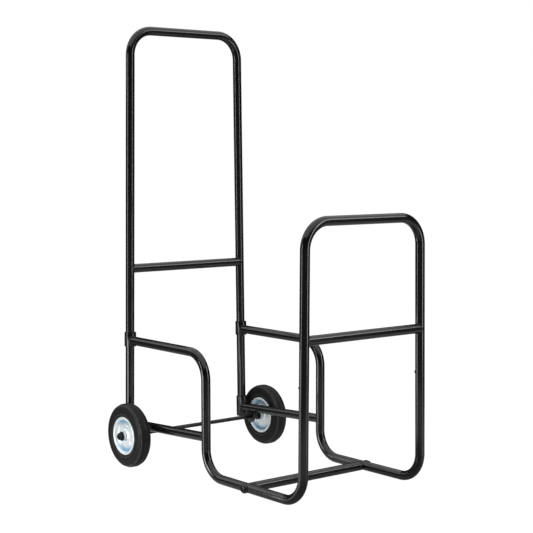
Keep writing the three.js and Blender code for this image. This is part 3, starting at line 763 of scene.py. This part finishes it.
leg_top = SEAM_HEIGHT - CLEARANCE / 2 - EDGE_ROUND * 0.7
for side, sign in SIDES:
    edge = sign * CRADLE_WIDTH / 2
    corners = [
        at(sign * leg_x(RAIL_HEIGHT), -sleeve_setback, RAIL_HEIGHT),
        at(edge, -DROP_FORWARD, RAIL_HEIGHT),
        at(edge, -DROP_FORWARD, FLOOR_RUN),
        at(edge, -CRADLE_LENGTH, FLOOR_RUN),
        at(sign * front_leg_x(SEAM_HEIGHT), -CRADLE_LENGTH, leg_top),
    ]
    bm, first, last = tube(corners)
    back = (corners[0] - corners[1]).normalized()
    cope(first, back, *sleeve_axis(sign, RAIL_HEIGHT), sleeve_radius)
    weld(f"{side}_upper_sleeve_weld", first)
    close(bm, first)
    round_end(bm, last, corners[-1], (corners[-1] - corners[-2]).normalized())
    coat(f"{side}_side_tube", bm)

    ends = [lower_tube_point(sign, sleeve_setback), lower_tube_point(sign, DROP_FORWARD)]
    heading = (ends[1] - ends[0]).normalized()
    bm, first, last = tube(ends)
    cope(first, -heading, *sleeve_axis(sign, ends[0].z), sleeve_radius)
    cope(last, heading, corners[1], at(0, 0, 1), R)
    weld(f"{side}_lower_sleeve_weld", first)
    weld(f"{side}_drop_weld", last)
    close(bm, first)
    close(bm, last)
    coat(f"{side}_lower_side_tube", bm)

# %% [markdown]
# ## Front arch
#
# The arch is a second upside-down U. The lower ends of its legs are drawn down to spigots that
# drop into the side tubes, so all that shows of the joint is a fine line round each leg.

# %% Front arch
arch_foot = SEAM_HEIGHT + CLEARANCE / 2 + EDGE_ROUND * 0.7
arch_corners = legs_and_top(front_leg_x, -CRADLE_LENGTH, arch_foot, ARCH_HEIGHT)
SPIGOT_LENGTH = 45

bm, first, last = tube(arch_corners)
for edges, foot, above in ((first, *arch_corners[:2]), (last, *arch_corners[:1:-1])):
    down = (foot - above).normalized()
    shoulder = down * EDGE_ROUND * 0.7
    neck = shrink(bm, push(bm, edges, shoulder), foot + shoulder, fits_inside / R)
    close(bm, push(bm, neck, down * SPIGOT_LENGTH))
coat("front_frame", bm)
crossbar("front_crossbar", front_leg_x, ARCH_BAR_HEIGHT, arch_corners)

# %% [markdown]
# ## Screws
#
# Pan-head screws hold the legs in their sleeves and the arch in the side tubes, all from behind.
# Their cross recess is cut into the head by joining the head's rim to a cross of edges and
# pushing that in.

# %% Recesses and screws
SCREW_DIAMETER = 5
SCREW_LENGTH = 9
SCREW_HEAD_DIAMETER = 10
SCREW_HEAD_HEIGHT = 3.2
SCREW_RECESS_DEPTH = 1.6
FRONT_SCREW_DROP = 20


def recess(bm, x, rim_radius, outline, depth):
    """Cuts a recess into a flat round face, down from the rim to an outline of (y, z) points."""
    level = {v for v in bm.verts if abs(v.co.x - x) < NEAR}
    at_rim = {v for v in level if abs(v.co.yz.length - rim_radius) < NEAR}
    rim = [e for e in bm.edges if at_rim.issuperset(e.verts)]
    faces = [f for f in bm.faces if level.issuperset(f.verts)]
    bmesh.ops.delete(bm, geom=faces, context="FACES")
    verts = [bm.verts.new((x, y, z)) for y, z in outline]
    hole = [bm.edges.new(pair) for pair in zip(verts, verts[1:] + verts[:1])]
    bmesh.ops.bridge_loops(bm, edges=rim + hole)
    close(bm, push(bm, hole, Vector((-depth, 0, 0))))
    return bm


def hexagon(across_flats):
    """Corners of a hexagon as (y, z)."""
    corner = across_flats / math.sqrt(3)
    angles = [math.tau * k / 6 for k in range(6)]
    return [(corner * math.cos(a), corner * math.sin(a)) for a in angles]


def cross(arm, half_width):
    """Corners of a cross-shaped recess as (y, z)."""
    quarter = [(arm, -half_width), (arm, half_width), (half_width, half_width)]
    turns = [Matrix.Rotation(math.tau * k / 4, 2) for k in range(4)]
    return [tuple(turn @ Vector(p)) for turn in turns for p in quarter]


def pan_screw():
    """Stands along +X with the underside of its head at x = 0."""
    shank = SCREW_DIAMETER / 2
    head = SCREW_HEAD_DIAMETER / 2
    top = SCREW_HEAD_HEIGHT
    flat = head * 0.62
    pan = [(0, head), (top * 0.4, head), (top * 0.7, head * 0.93), (top * 0.92, head * 0.8)]
    profile = [(-SCREW_LENGTH, 0), (-SCREW_LENGTH, shank), (0, shank), *pan, (top, flat), (top, 0)]
    bm = turned(profile, SMALL_TURN_STEPS)
    return recess(bm, top, flat, cross(head * 0.42, head * 0.1), SCREW_RECESS_DEPTH)


def facing_back(x, y, z):
    """Turns a piece that stands along +X to stand out of the back, along +Y."""
    return CHASSIS @ Matrix.Translation((x, y, z)) @ Matrix.Rotation(math.pi / 2, 4, "Z")


sleeve_back = sleeve_radius - sleeve_setback
screw_places = (
    ("upper_sleeve_screw", leg_x, sleeve_back, upper_sleeve_height),
    ("lower_sleeve_screw", leg_x, sleeve_back, lower_sleeve_height),
    ("front_screw", front_leg_x, R - CRADLE_LENGTH, SEAM_HEIGHT - FRONT_SCREW_DROP),
)
for side, sign in SIDES:
    for name, half_width, y, z in screw_places:
        matrix = facing_back(sign * half_width(z), y + CLEARANCE / 3, z)
        dress(f"{side}_{name}", pan_screw(), black_zinc, matrix=matrix)

# %% [markdown]
# ## Floor crossbar
#
# The crossbar is cut square at both ends. A nylon insert in each end has a collar that is
# hollowed to sit on the round floor run, and a long bolt goes through everything from the left
# to a lock nut on the right. A saddle washer spreads its clamp on the outside of each run.

# %% Floor crossbar
INSERT_LENGTH = 25
COLLAR_LENGTH = 7
SADDLE_DIAMETER = 22
SADDLE_HEIGHT = 1.8
BOLT_DIAMETER = 10
BOLT_HEAD_DIAMETER = 15.5
BOLT_HEAD_HEIGHT = 4
BOLT_SOCKET = 7
BOLT_SOCKET_DEPTH = 2.5
SEAT_OVERLAP = 1

bolt_bore = BOLT_DIAMETER / 2 + CLEARANCE
bar_end = CRADLE_WIDTH / 2 - R - COLLAR_LENGTH
bar_place = Matrix.Translation((0, -FLOOR_BAR_FORWARD, FLOOR_RUN))
bm, first, last = tube([at(-bar_end, 0, 0), at(bar_end, 0, 0)])
for edges, heading in ((first, at(-1, 0, 0)), (last, at(1, 0, 0))):
    round_end(bm, edges, heading * bar_end, heading)
bm.transform(bar_place)
coat("floor_crossbar", bm)


def onto_run(bm, seat_x, radius):
    """Hollows the face of a piece that lies at seat_x, so that it sits on the round run."""
    centre = CRADLE_WIDTH / 2
    toward = -1 if seat_x < centre else 1
    for v in bm.verts:
        if abs(v.co.x - seat_x) < NEAR:
            v.co.x = centre + toward * math.sqrt(max(0.0, radius**2 - v.co.z**2))
    return bm


def saddle_ring(from_x, to_x, radius, seat_x):
    """A thick ring round the bolt whose face at seat_x is hollowed for the run."""
    return onto_run(hoop(from_x, to_x, bolt_bore, radius), seat_x, R + CLEARANCE / 3)


for side, sign in SIDES:
    face_out = CHASSIS @ bar_place @ facing_out(sign)
    seat = CRADLE_WIDTH / 2 - SEAT_OVERLAP
    collar_foot = bar_end + 0.9
    collar = saddle_ring(collar_foot, seat, R - 0.3, seat)
    stem = hoop(bar_end - INSERT_LENGTH, collar_foot, bolt_bore, fits_inside)
    insert = joined(collar, stem)
    dress(f"{side}_crossbar_insert", insert, nylon, matrix=face_out)

    seat = CRADLE_WIDTH / 2 + SEAT_OVERLAP
    outside = CRADLE_WIDTH / 2 + R + SADDLE_HEIGHT
    saddle = soften(saddle_ring(seat, outside, SADDLE_DIAMETER / 2, seat))
    dress(f"{side}_saddle_washer", saddle, nylon, matrix=face_out)

# %% Lock nut and long bolt
NUT_ACROSS_FLATS = 17
NUT_HEIGHT = 5.5
NUT_COLLAR_DIAMETER = 15
NUT_COLLAR_HEIGHT = 2.2
THREAD_END = 2.5
THREAD_PITCH = 1.25
THREAD_DEPTH = 0.6
THREAD_PLAY = 0.15


def lock_nut():
    """A hexagon nut with chamfered corners and the round collar of its nylon ring."""
    corner = NUT_ACROSS_FLATS / math.sqrt(3)
    body = bmesh.new()
    matrix = Matrix.Translation((NUT_HEIGHT / 2, 0, 0)) @ Matrix.Rotation(math.pi / 2, 4, "Y")
    prism = {"radius1": corner, "radius2": corner, "depth": NUT_HEIGHT, "cap_ends": True}
    bmesh.ops.create_cone(body, segments=6, matrix=matrix, **prism)
    soften(body, segments=3)
    collar = NUT_COLLAR_DIAMETER / 2
    top = NUT_HEIGHT + NUT_COLLAR_HEIGHT
    bore = BOLT_DIAMETER / 2 + THREAD_PLAY
    inside = [(NUT_HEIGHT - 0.5, bore), (top - 0.9, bore), (top - 0.3, bore + 0.6)]
    rolled = [(top, collar - 1.6), (top - 0.3, collar - 0.7), (top - 1.2, collar)]
    return joined(body, turned(inside + rolled + [(NUT_HEIGHT - 0.5, collar)]))


def thread(start, end, radius):
    """The visible end of a thread: a stack of ridges."""
    root = radius - THREAD_DEPTH
    profile = [(start, 0), (start, root)]
    x = start
    while x + THREAD_PITCH < end - 0.6:
        profile += [(x + THREAD_PITCH / 2, radius), (x + THREAD_PITCH, root)]
        x += THREAD_PITCH
    profile += [(end, radius - 1.2), (end, 0)]
    return turned(profile)


def cap_bolt(length):
    """Stands along +X with the underside of its low round head at x = 0."""
    shank = BOLT_DIAMETER / 2
    head = BOLT_HEAD_DIAMETER / 2
    top = BOLT_HEAD_HEIGHT
    tail = THREAD_END - length
    flat = head - 1.2
    rim = [(0, head), (top - 0.9, head), (top - 0.25, head - 0.3), (top, flat)]
    bolt = turned([(tail, 0), (tail, shank), (0, shank), *rim, (top, 0)])
    bm = recess(bolt, top, flat, hexagon(BOLT_SOCKET), BOLT_SOCKET_DEPTH)
    return joined(bm, thread(-length, tail + 0.2, shank))


seat = CRADLE_WIDTH / 2 + R + SADDLE_HEIGHT + CLEARANCE / 3
bolt_length = 2 * seat + NUT_HEIGHT + NUT_COLLAR_HEIGHT + THREAD_END
left_face = CHASSIS @ bar_place @ Matrix.Translation((-seat, 0, 0)) @ facing_out(-1)
dress("crossbar_bolt", cap_bolt(bolt_length), black_zinc, matrix=left_face)
right_face = CHASSIS @ bar_place @ Matrix.Translation((seat, 0, 0))
dress("crossbar_nut", lock_nut(), black_zinc, matrix=right_face)

# %% [markdown]
# ## Axle
#
# The axle is a plain rod with threaded ends. It runs through an ear plate under each lower side
# tube. Outside the plate come a spacer tube, a washer, the wheel and a lock nut.

# %% Axle, brackets, spacers and washers
AXLE_DIAMETER = 10
BRACKET_RADIUS = 16
BRACKET_THICKNESS = 4
BRACKET_INSET = 8.5
BRACKET_STEPS = 24
BRACKET_WELD_STEPS = 8
SPACER_OD = 18
WASHER_OD = 22
WASHER_THICKNESS = 2.5
WHEEL_STANDOFF = 36.4
HUB_LENGTH = 46

hub_half = HUB_LENGTH / 2
wheel_offset = leg_x(AXLE_HEIGHT) + WHEEL_STANDOFF
hub_inside = wheel_offset - hub_half
washer_inside = hub_inside - CLEARANCE - WASHER_THICKNESS
nut_inside = wheel_offset + hub_half + CLEARANCE / 2
axle_tip = nut_inside + NUT_HEIGHT + NUT_COLLAR_HEIGHT + THREAD_END
axle_radius = AXLE_DIAMETER / 2
axle_bore = axle_radius + THREAD_PLAY
axle_middle = Matrix.Translation((0, -AXLE_FORWARD, AXLE_HEIGHT))

rod_end = axle_tip - THREAD_END
rod = turned([(-rod_end, 0), (-rod_end, axle_radius), (rod_end, axle_radius), (rod_end, 0)])
right_thread = thread(rod_end - 0.2, axle_tip, axle_radius)
left_thread = right_thread.copy()
left_thread.transform(facing_out(-1))
rod = joined(rod, right_thread, left_thread)
dress("axle", rod, black_zinc, matrix=CHASSIS @ axle_middle)


def bracket(inner_x, top_z):
    """An ear plate: a half round under the axle, with straight sides up to the tube."""
    bm = bmesh.new()
    arc = [math.pi + math.pi * k / BRACKET_STEPS for k in range(BRACKET_STEPS + 1)]
    outline = [(BRACKET_RADIUS * math.cos(a), BRACKET_RADIUS * math.sin(a)) for a in arc]
    outline += [(BRACKET_RADIUS, top_z), (-BRACKET_RADIUS, top_z)]
    face = bm.faces.new([bm.verts.new((inner_x, y, z)) for y, z in outline])
    made = bmesh.ops.extrude_face_region(bm, geom=[face])["geom"]
    verts = parts_of(made, bmesh.types.BMVert)
    bmesh.ops.translate(bm, vec=(BRACKET_THICKNESS, 0, 0), verts=verts)
    bmesh.ops.recalc_face_normals(bm, faces=bm.faces[:])
    return soften(bm)


def washer(from_x, to_x, radius):
    """A ring on the axle."""
    return soften(hoop(from_x, to_x, axle_bore, radius), FINE_EDGE)


for side, sign in SIDES:
    out = CHASSIS @ axle_middle @ facing_out(sign)
    above = lower_tube_point(sign, AXLE_FORWARD)
    middle = abs(above.x) - BRACKET_INSET
    inner = middle - BRACKET_THICKNESS / 2
    coat(f"{side}_axle_bracket", bracket(inner, above.z - AXLE_HEIGHT - R * 0.45), out)
    spacer = washer(middle + BRACKET_THICKNESS / 2, washer_inside - CLEARANCE / 2, SPACER_OD / 2)
    coat(f"{side}_axle_spacer", spacer, out)
    disc = washer(washer_inside, hub_inside - CLEARANCE / 2, WASHER_OD / 2)
    dress(f"{side}_axle_washer", disc, black_zinc, matrix=out)
    nut = lock_nut()
    nut.transform(Matrix.Translation((nut_inside, 0, 0)))
    dress(f"{side}_lock_nut", nut, black_zinc, matrix=out)

    plate_top = []
    for x, stretch in ((inner, 1), (inner + BRACKET_THICKNESS, -1)):
        down = math.sqrt(R**2 - (abs(above.x) - x) ** 2)
        for k in range(BRACKET_WELD_STEPS + 1):
            y = stretch * lerp(-BRACKET_RADIUS, BRACKET_RADIUS, k / BRACKET_WELD_STEPS)
            here = lower_tube_point(sign, AXLE_FORWARD - y)
            plate_top.append(at(sign * x, y - AXLE_FORWARD, here.z - down))
    finish_piece(f"{side}_bracket_weld", bead(plate_top), "chassis", powder_coat)

# %% [markdown]
# ## Wheels
#
# A wheel is two pressed discs riveted back to back round a hub tube, with a solid rubber tyre
# held between their rolled lips. The disc's section is drawn as the middle line of the sheet, and
# its corners are rounded as a press rounds them. The two faces of the sheet lie half its thickness
# to either side of that line, and the closed outline is spun. The tyre's outline has grooves
# across the tread and a raised ring beside the rim.

# %% Wheel sizes
TYRE_WIDTH = 35.2
TYRE_SHOULDER = 13
RIM_SHEET = 1.5
RIM_LIP_RADIUS = 47.3
RIM_LIP_WIDTH = 7
RIM_DISH_RADIUS = 37
RIM_DISH_DEPTH = 9.4
RIM_WEB_RISE = 2.2
RIM_BOSS_RADIUS = 14
RIM_BOSS_RISE = 2.8
RIM_CORNER = 2.2
RIM_EDGE = 0.35
RIVET_CIRCLE_RADIUS = 25
RIVET_COUNT = 3
RIVET_PHASE = math.radians(72)
RIVET_HEAD_DIAMETER = 7.6
RIVET_HEAD_HEIGHT = 1.8
RIVET_SHANK_RADIUS = 2.2
HUB_OD = 18
HUB_WALL = 1.7
BUSH_FLANGE_DIAMETER = 23
BUSH_FLANGE_THICKNESS = 2.5
BUSH_STEM = 12
WHEEL_STEPS = 128

tyre_side = TYRE_WIDTH / 2
web_edge = tyre_side - RIM_DISH_DEPTH
web_foot = web_edge + RIM_WEB_RISE
boss_top = web_foot + RIM_BOSS_RISE
lip_crown = tyre_side + 0.2 - RIM_SHEET / 2
dish_top = RIM_LIP_RADIUS - RIM_LIP_WIDTH


def rounded(points, radius, steps=5):
    """A line with its inner corners rounded, as a smooth curve from side to side of each."""
    line = [Vector(p) for p in points]
    made = [line[0]]
    for before, corner, after in zip(line, line[1:], line[2:]):
        reach = min(radius, (before - corner).length * 0.48, (after - corner).length * 0.48)
        start = corner + (before - corner).normalized() * reach
        end = corner + (after - corner).normalized() * reach
        for k in range(steps + 1):
            t = k / steps
            made.append(start.lerp(corner, t).lerp(corner.lerp(end, t), t))
    made.append(line[-1])
    return [tuple(p) for p in made]


# %% Rim discs
lip_edge = RIM_LIP_RADIUS - RIM_SHEET / 2
rim_section = [
    (boss_top, HUB_OD / 2 + 0.1),
    (boss_top, RIM_BOSS_RADIUS),
    (web_foot, RIM_BOSS_RADIUS + 3),
    (web_edge, RIM_DISH_RADIUS),
    (lip_crown - 2.5, dish_top),
    (lip_crown, dish_top + 2.8),
    (lip_crown - 0.5, lip_edge - 0.6),
    (lip_crown - 1.8, lip_edge),
]


def rim_disc():
    """The outboard disc, facing +X."""
    line = rounded(rim_section, RIM_CORNER)
    half = RIM_SHEET / 2
    faces = {}
    for side in (1, -1):
        faces[side] = []
        for i, (x, radius) in enumerate(line):
            before, after = line[max(0, i - 1)], line[min(len(line) - 1, i + 1)]
            heading = Vector((after[0] - before[0], after[1] - before[1])).normalized()
            faces[side].append((x + side * half * heading.y, radius - side * half * heading.x))
    return soften(turned(faces[1] + faces[-1][::-1], WHEEL_STEPS), RIM_EDGE)


# %% Tyre
GROOVE_WIDTH = 3
GROOVE_DEPTH = 2
GROOVES = [RIB_PITCH * k for k in (-1.5, -0.5, 0.5, 1.5)]
GROOVE_FLOOR = 1

shoulder_x = tyre_side - TYRE_SHOULDER
shoulder_r = WHEEL_RADIUS - TYRE_SHOULDER


def crown_radius(x):
    """The tread's radius at a place across it."""
    past = max(0.0, abs(x) - shoulder_x)
    return shoulder_r + math.sqrt(TYRE_SHOULDER**2 - past**2)


def tyre():
    """A solid tyre with a bead ring on each side and grooves round its tread."""
    lip, floor = GROOVE_WIDTH / 2, GROOVE_FLOOR / 2
    groove = ((-lip, 0), (-floor, GROOVE_DEPTH), (floor, GROOVE_DEPTH), (lip, 0))
    crown = [(x + dx, crown_radius(x + dx) - drop) for x in GROOVES for dx, drop in groove]
    rim = RIM_LIP_RADIUS
    side = [
        (web_edge + 1, RIM_DISH_RADIUS + 1.4),
        (lip_crown - 2.9, dish_top + 1.2),
        (lip_crown - 1.2, dish_top + 3),
        (lip_crown - 1.2, rim + 0.25),
        (tyre_side - 1.2, rim + 0.9),
        (tyre_side - 1.2, rim + 3.2),
        (tyre_side - 0.6, rim + 4.0),
        (tyre_side + 0.35, rim + 5.0),
        (tyre_side + 0.35, rim + 6.2),
        (tyre_side - 0.9, rim + 7.6),
        (tyre_side - 0.9, rim + 9),
        (tyre_side - 0.1, rim + 12),
        (tyre_side, shoulder_r),
    ]
    for degrees in range(8, 89, 8):
        angle = math.radians(degrees)
        x = shoulder_x + TYRE_SHOULDER * math.cos(angle)
        if x > GROOVES[-1] + GROOVE_WIDTH:
            side.append((x, shoulder_r + TYRE_SHOULDER * math.sin(angle)))
    other = [(-x, radius) for x, radius in side]
    return turned(side + crown[::-1] + other[::-1], WHEEL_STEPS)


# %% Rivets, hub and bushes


def rivet():
    """A domed head on each disc, joined by its shank."""
    head = RIVET_HEAD_DIAMETER / 2
    foot = RIM_BOSS_RADIUS + 3
    web_share = (RIVET_CIRCLE_RADIUS - foot) / (RIM_DISH_RADIUS - foot)
    seat = lerp(web_foot, web_edge, web_share) + RIM_SHEET / 2 - 0.1
    half = [(seat, head)]
    for angle in (math.radians(10 * k) for k in range(9)):
        half.append((seat + 0.3 + RIVET_HEAD_HEIGHT * math.sin(angle), head * math.cos(angle)))
    half.append((seat + 0.3 + RIVET_HEAD_HEIGHT, 0))
    other = [(-x, radius) for x, radius in half]
    shank = [(-seat, RIVET_SHANK_RADIUS), (seat, RIVET_SHANK_RADIUS)]
    return turned(other[::-1] + shank + half, SMALL_TURN_STEPS)


def bush():
    """A flanged nylon bush at the outboard end of the hub."""
    flange = hub_half - BUSH_FLANGE_THICKNESS
    stem = HUB_OD / 2 - HUB_WALL
    edge = BUSH_FLANGE_DIAMETER / 2
    inner = flange - BUSH_STEM
    profile = [(inner, axle_bore), (hub_half, axle_bore), (hub_half, edge), (flange, edge)]
    return soften(turned(profile + [(flange, stem), (inner, stem)]))


def hub_tube():
    """The tube between the bushes that carries both discs."""
    half = hub_half - BUSH_FLANGE_THICKNESS - CLEARANCE / 3
    return soften(hoop(-half, half, HUB_OD / 2 - HUB_WALL, HUB_OD / 2), FINE_EDGE)


def inboard(bm):
    """The same piece at the inboard side, turned half round."""
    bm.transform(facing_out(-1))
    return bm


for side, sign in SIDES:
    body = f"{side}_wheel"
    centre = axle_place + Vector((sign * wheel_offset * MM, 0, 0))
    wheel = Matrix.Translation(centre) @ Matrix.Scale(MM, 4) @ facing_out(sign)
    for cad_node, shape, finish in (
        ("tyre", tyre(), rubber),
        ("outer_rim", rim_disc(), bright_zinc),
        ("inner_rim", inboard(rim_disc()), bright_zinc),
        ("hub_tube", hub_tube(), bright_zinc),
        ("outer_bush", bush(), nylon),
        ("inner_bush", inboard(bush()), nylon),
    ):
        dress(f"{side}_{cad_node}", shape, finish, body, wheel)
    for k in range(RIVET_COUNT):
        angle = RIVET_PHASE + math.tau * k / RIVET_COUNT
        spot = RIVET_CIRCLE_RADIUS * Vector((0, math.cos(angle), math.sin(angle)))
        matrix = wheel @ Matrix.Translation(spot)
        dress(f"{side}_rivet_{k + 1}", rivet(), bright_zinc, body, matrix)

print("pieces:", len(made_pieces), "faces:", sum(len(p.data.polygons) for p in made_pieces))

# %% [markdown]
# ## Floor and light
#
# The photograph is a studio shot on white. A black tube shows what it mirrors, so the lights are
# placed for their reflections. Tall boxes on the left and right draw the light lines along the
# uprights. A high box in front is for the crossbars, one at the back for the rails, and a broad
# one hangs overhead. Two small cards light the wheels' discs. The camera sees none of them.
#
# The floor is white paper to the camera. The tubes see it as dark with a slight sheen, in which
# the tall boxes go on, so that the light lines run down to the ground. It glows for them in a
# wide ring, is shaded under the load and fades away outside.

# %% Floor
FLOOR_SIZE = 60
POOL_PLACE = (0, -0.35, 0)
SHADE_RADIUS = 0.12
POOL_STARTS_AT = 0.4
POOL_ENDS_AT = 0.8
POOL_FADES_AT = 1.2

paper, tree, shader, place = new_finish("studio_paper")
fibres = blend_colours(tree, grain(tree, place, 300), "2b2b2b", "333333")
tree.links.new(fibres, shader.inputs["Base Color"])
shader.inputs["Roughness"].default_value = 0.9
shader.inputs["Emission Color"].default_value = colour("ffffff")
shader.inputs["Emission Strength"].default_value = 1.0

direct = node(tree, "LightPath").outputs["Is Camera Ray"]
pool = {0: place, 1: POOL_PLACE}
distance = node(tree, "VectorMath", pool, operation="DISTANCE").outputs["Value"]
shade = {"From Min": SHADE_RADIUS, "From Max": POOL_STARTS_AT, "To Min": 0.3, "To Max": 1.0}
shaded = node(tree, "MapRange", {"Value": distance, **shade}).outputs["Result"]
falls_off = {"From Min": POOL_ENDS_AT, "From Max": POOL_FADES_AT, "To Min": 0.55, "To Max": 0.12}
pooled = node(tree, "MapRange", {"Value": distance, **falls_off}).outputs["Result"]
lit = node(tree, "Math", {0: shaded, 1: pooled}, operation="MULTIPLY").outputs["Value"]
sheen = {"Base Color": colour("000000"), "Roughness": 0.12, "Emission Color": colour("ffffff")}
dim = node(tree, "BsdfPrincipled", {**sheen, "Emission Strength": lit})
mixed = node(tree, "MixShader", {0: direct, 1: dim.outputs[0], 2: shader.outputs[0]})
tree.links.new(mixed.outputs[0], tree.nodes["Material Output"].inputs["Surface"])

bm = bmesh.new()
bmesh.ops.create_grid(bm, x_segments=1, y_segments=1, size=FLOOR_SIZE / 2)
floor = as_object("floor", bm, paper)
print("floor:", FLOOR_SIZE, "m")

# %% Soft boxes and surroundings


def soft_box(name, place, size, power, target=(0, 0, 0.45)):
    """An area light that faces the cart."""
    light = bpy.data.lights.new(name, "AREA")
    light.shape = "RECTANGLE"
    light.size, light.size_y = size
    light.energy = power
    lamp = bpy.data.objects.new(name, light)
    lamp.location = place
    lamp.visible_camera = False
    lamp.rotation_euler = (Vector(target) - Vector(place)).to_track_quat("-Z", "Y").to_euler()
    scene.collection.objects.link(lamp)


soft_box("left_box", (-3.3, 0.95, 0.6), (0.45, 1.8), 26, target=(0, 0, 0.6))
soft_box("right_box", (0.75, -1.9, 0.55), (0.3, 1.6), 13, target=(0, 0, 0.55))
soft_box("top_box", (0, 0, 3.6), (8, 9), 290)
soft_box("high_box", (2.6, -3.2, 2.45), (1.7, 1.0), 29)
soft_box("back_box", (-1.75, 3.0, 1.95), (1.9, 1.5), 11, target=(0, 0, 0.6))
soft_box("left_card", (-0.8, 0.3, 0.12), (0.25, 0.25), 1.6, target=(-0.235, 0.28, 0.08))
soft_box("right_card", (-0.1, 0.2, 0.12), (0.1, 0.12), 0.16, target=(0.19, 0.28, 0.08))

world = bpy.data.worlds.new("studio")
scene.world = world
world.use_nodes = True
tree = world.node_tree
tree.nodes.clear()
seen = node(tree, "Background", {"Color": colour("ffffff"), "Strength": 1.0})
around = node(tree, "Background", {"Color": colour("e6edf2"), "Strength": 0.05})
direct = node(tree, "LightPath").outputs["Is Camera Ray"]
mixed = node(tree, "MixShader", {0: direct, 1: around.outputs[0], 2: seen.outputs[0]})
node(tree, "OutputWorld", {"Surface": mixed.outputs[0]})
scene.view_settings.view_transform = "Standard"
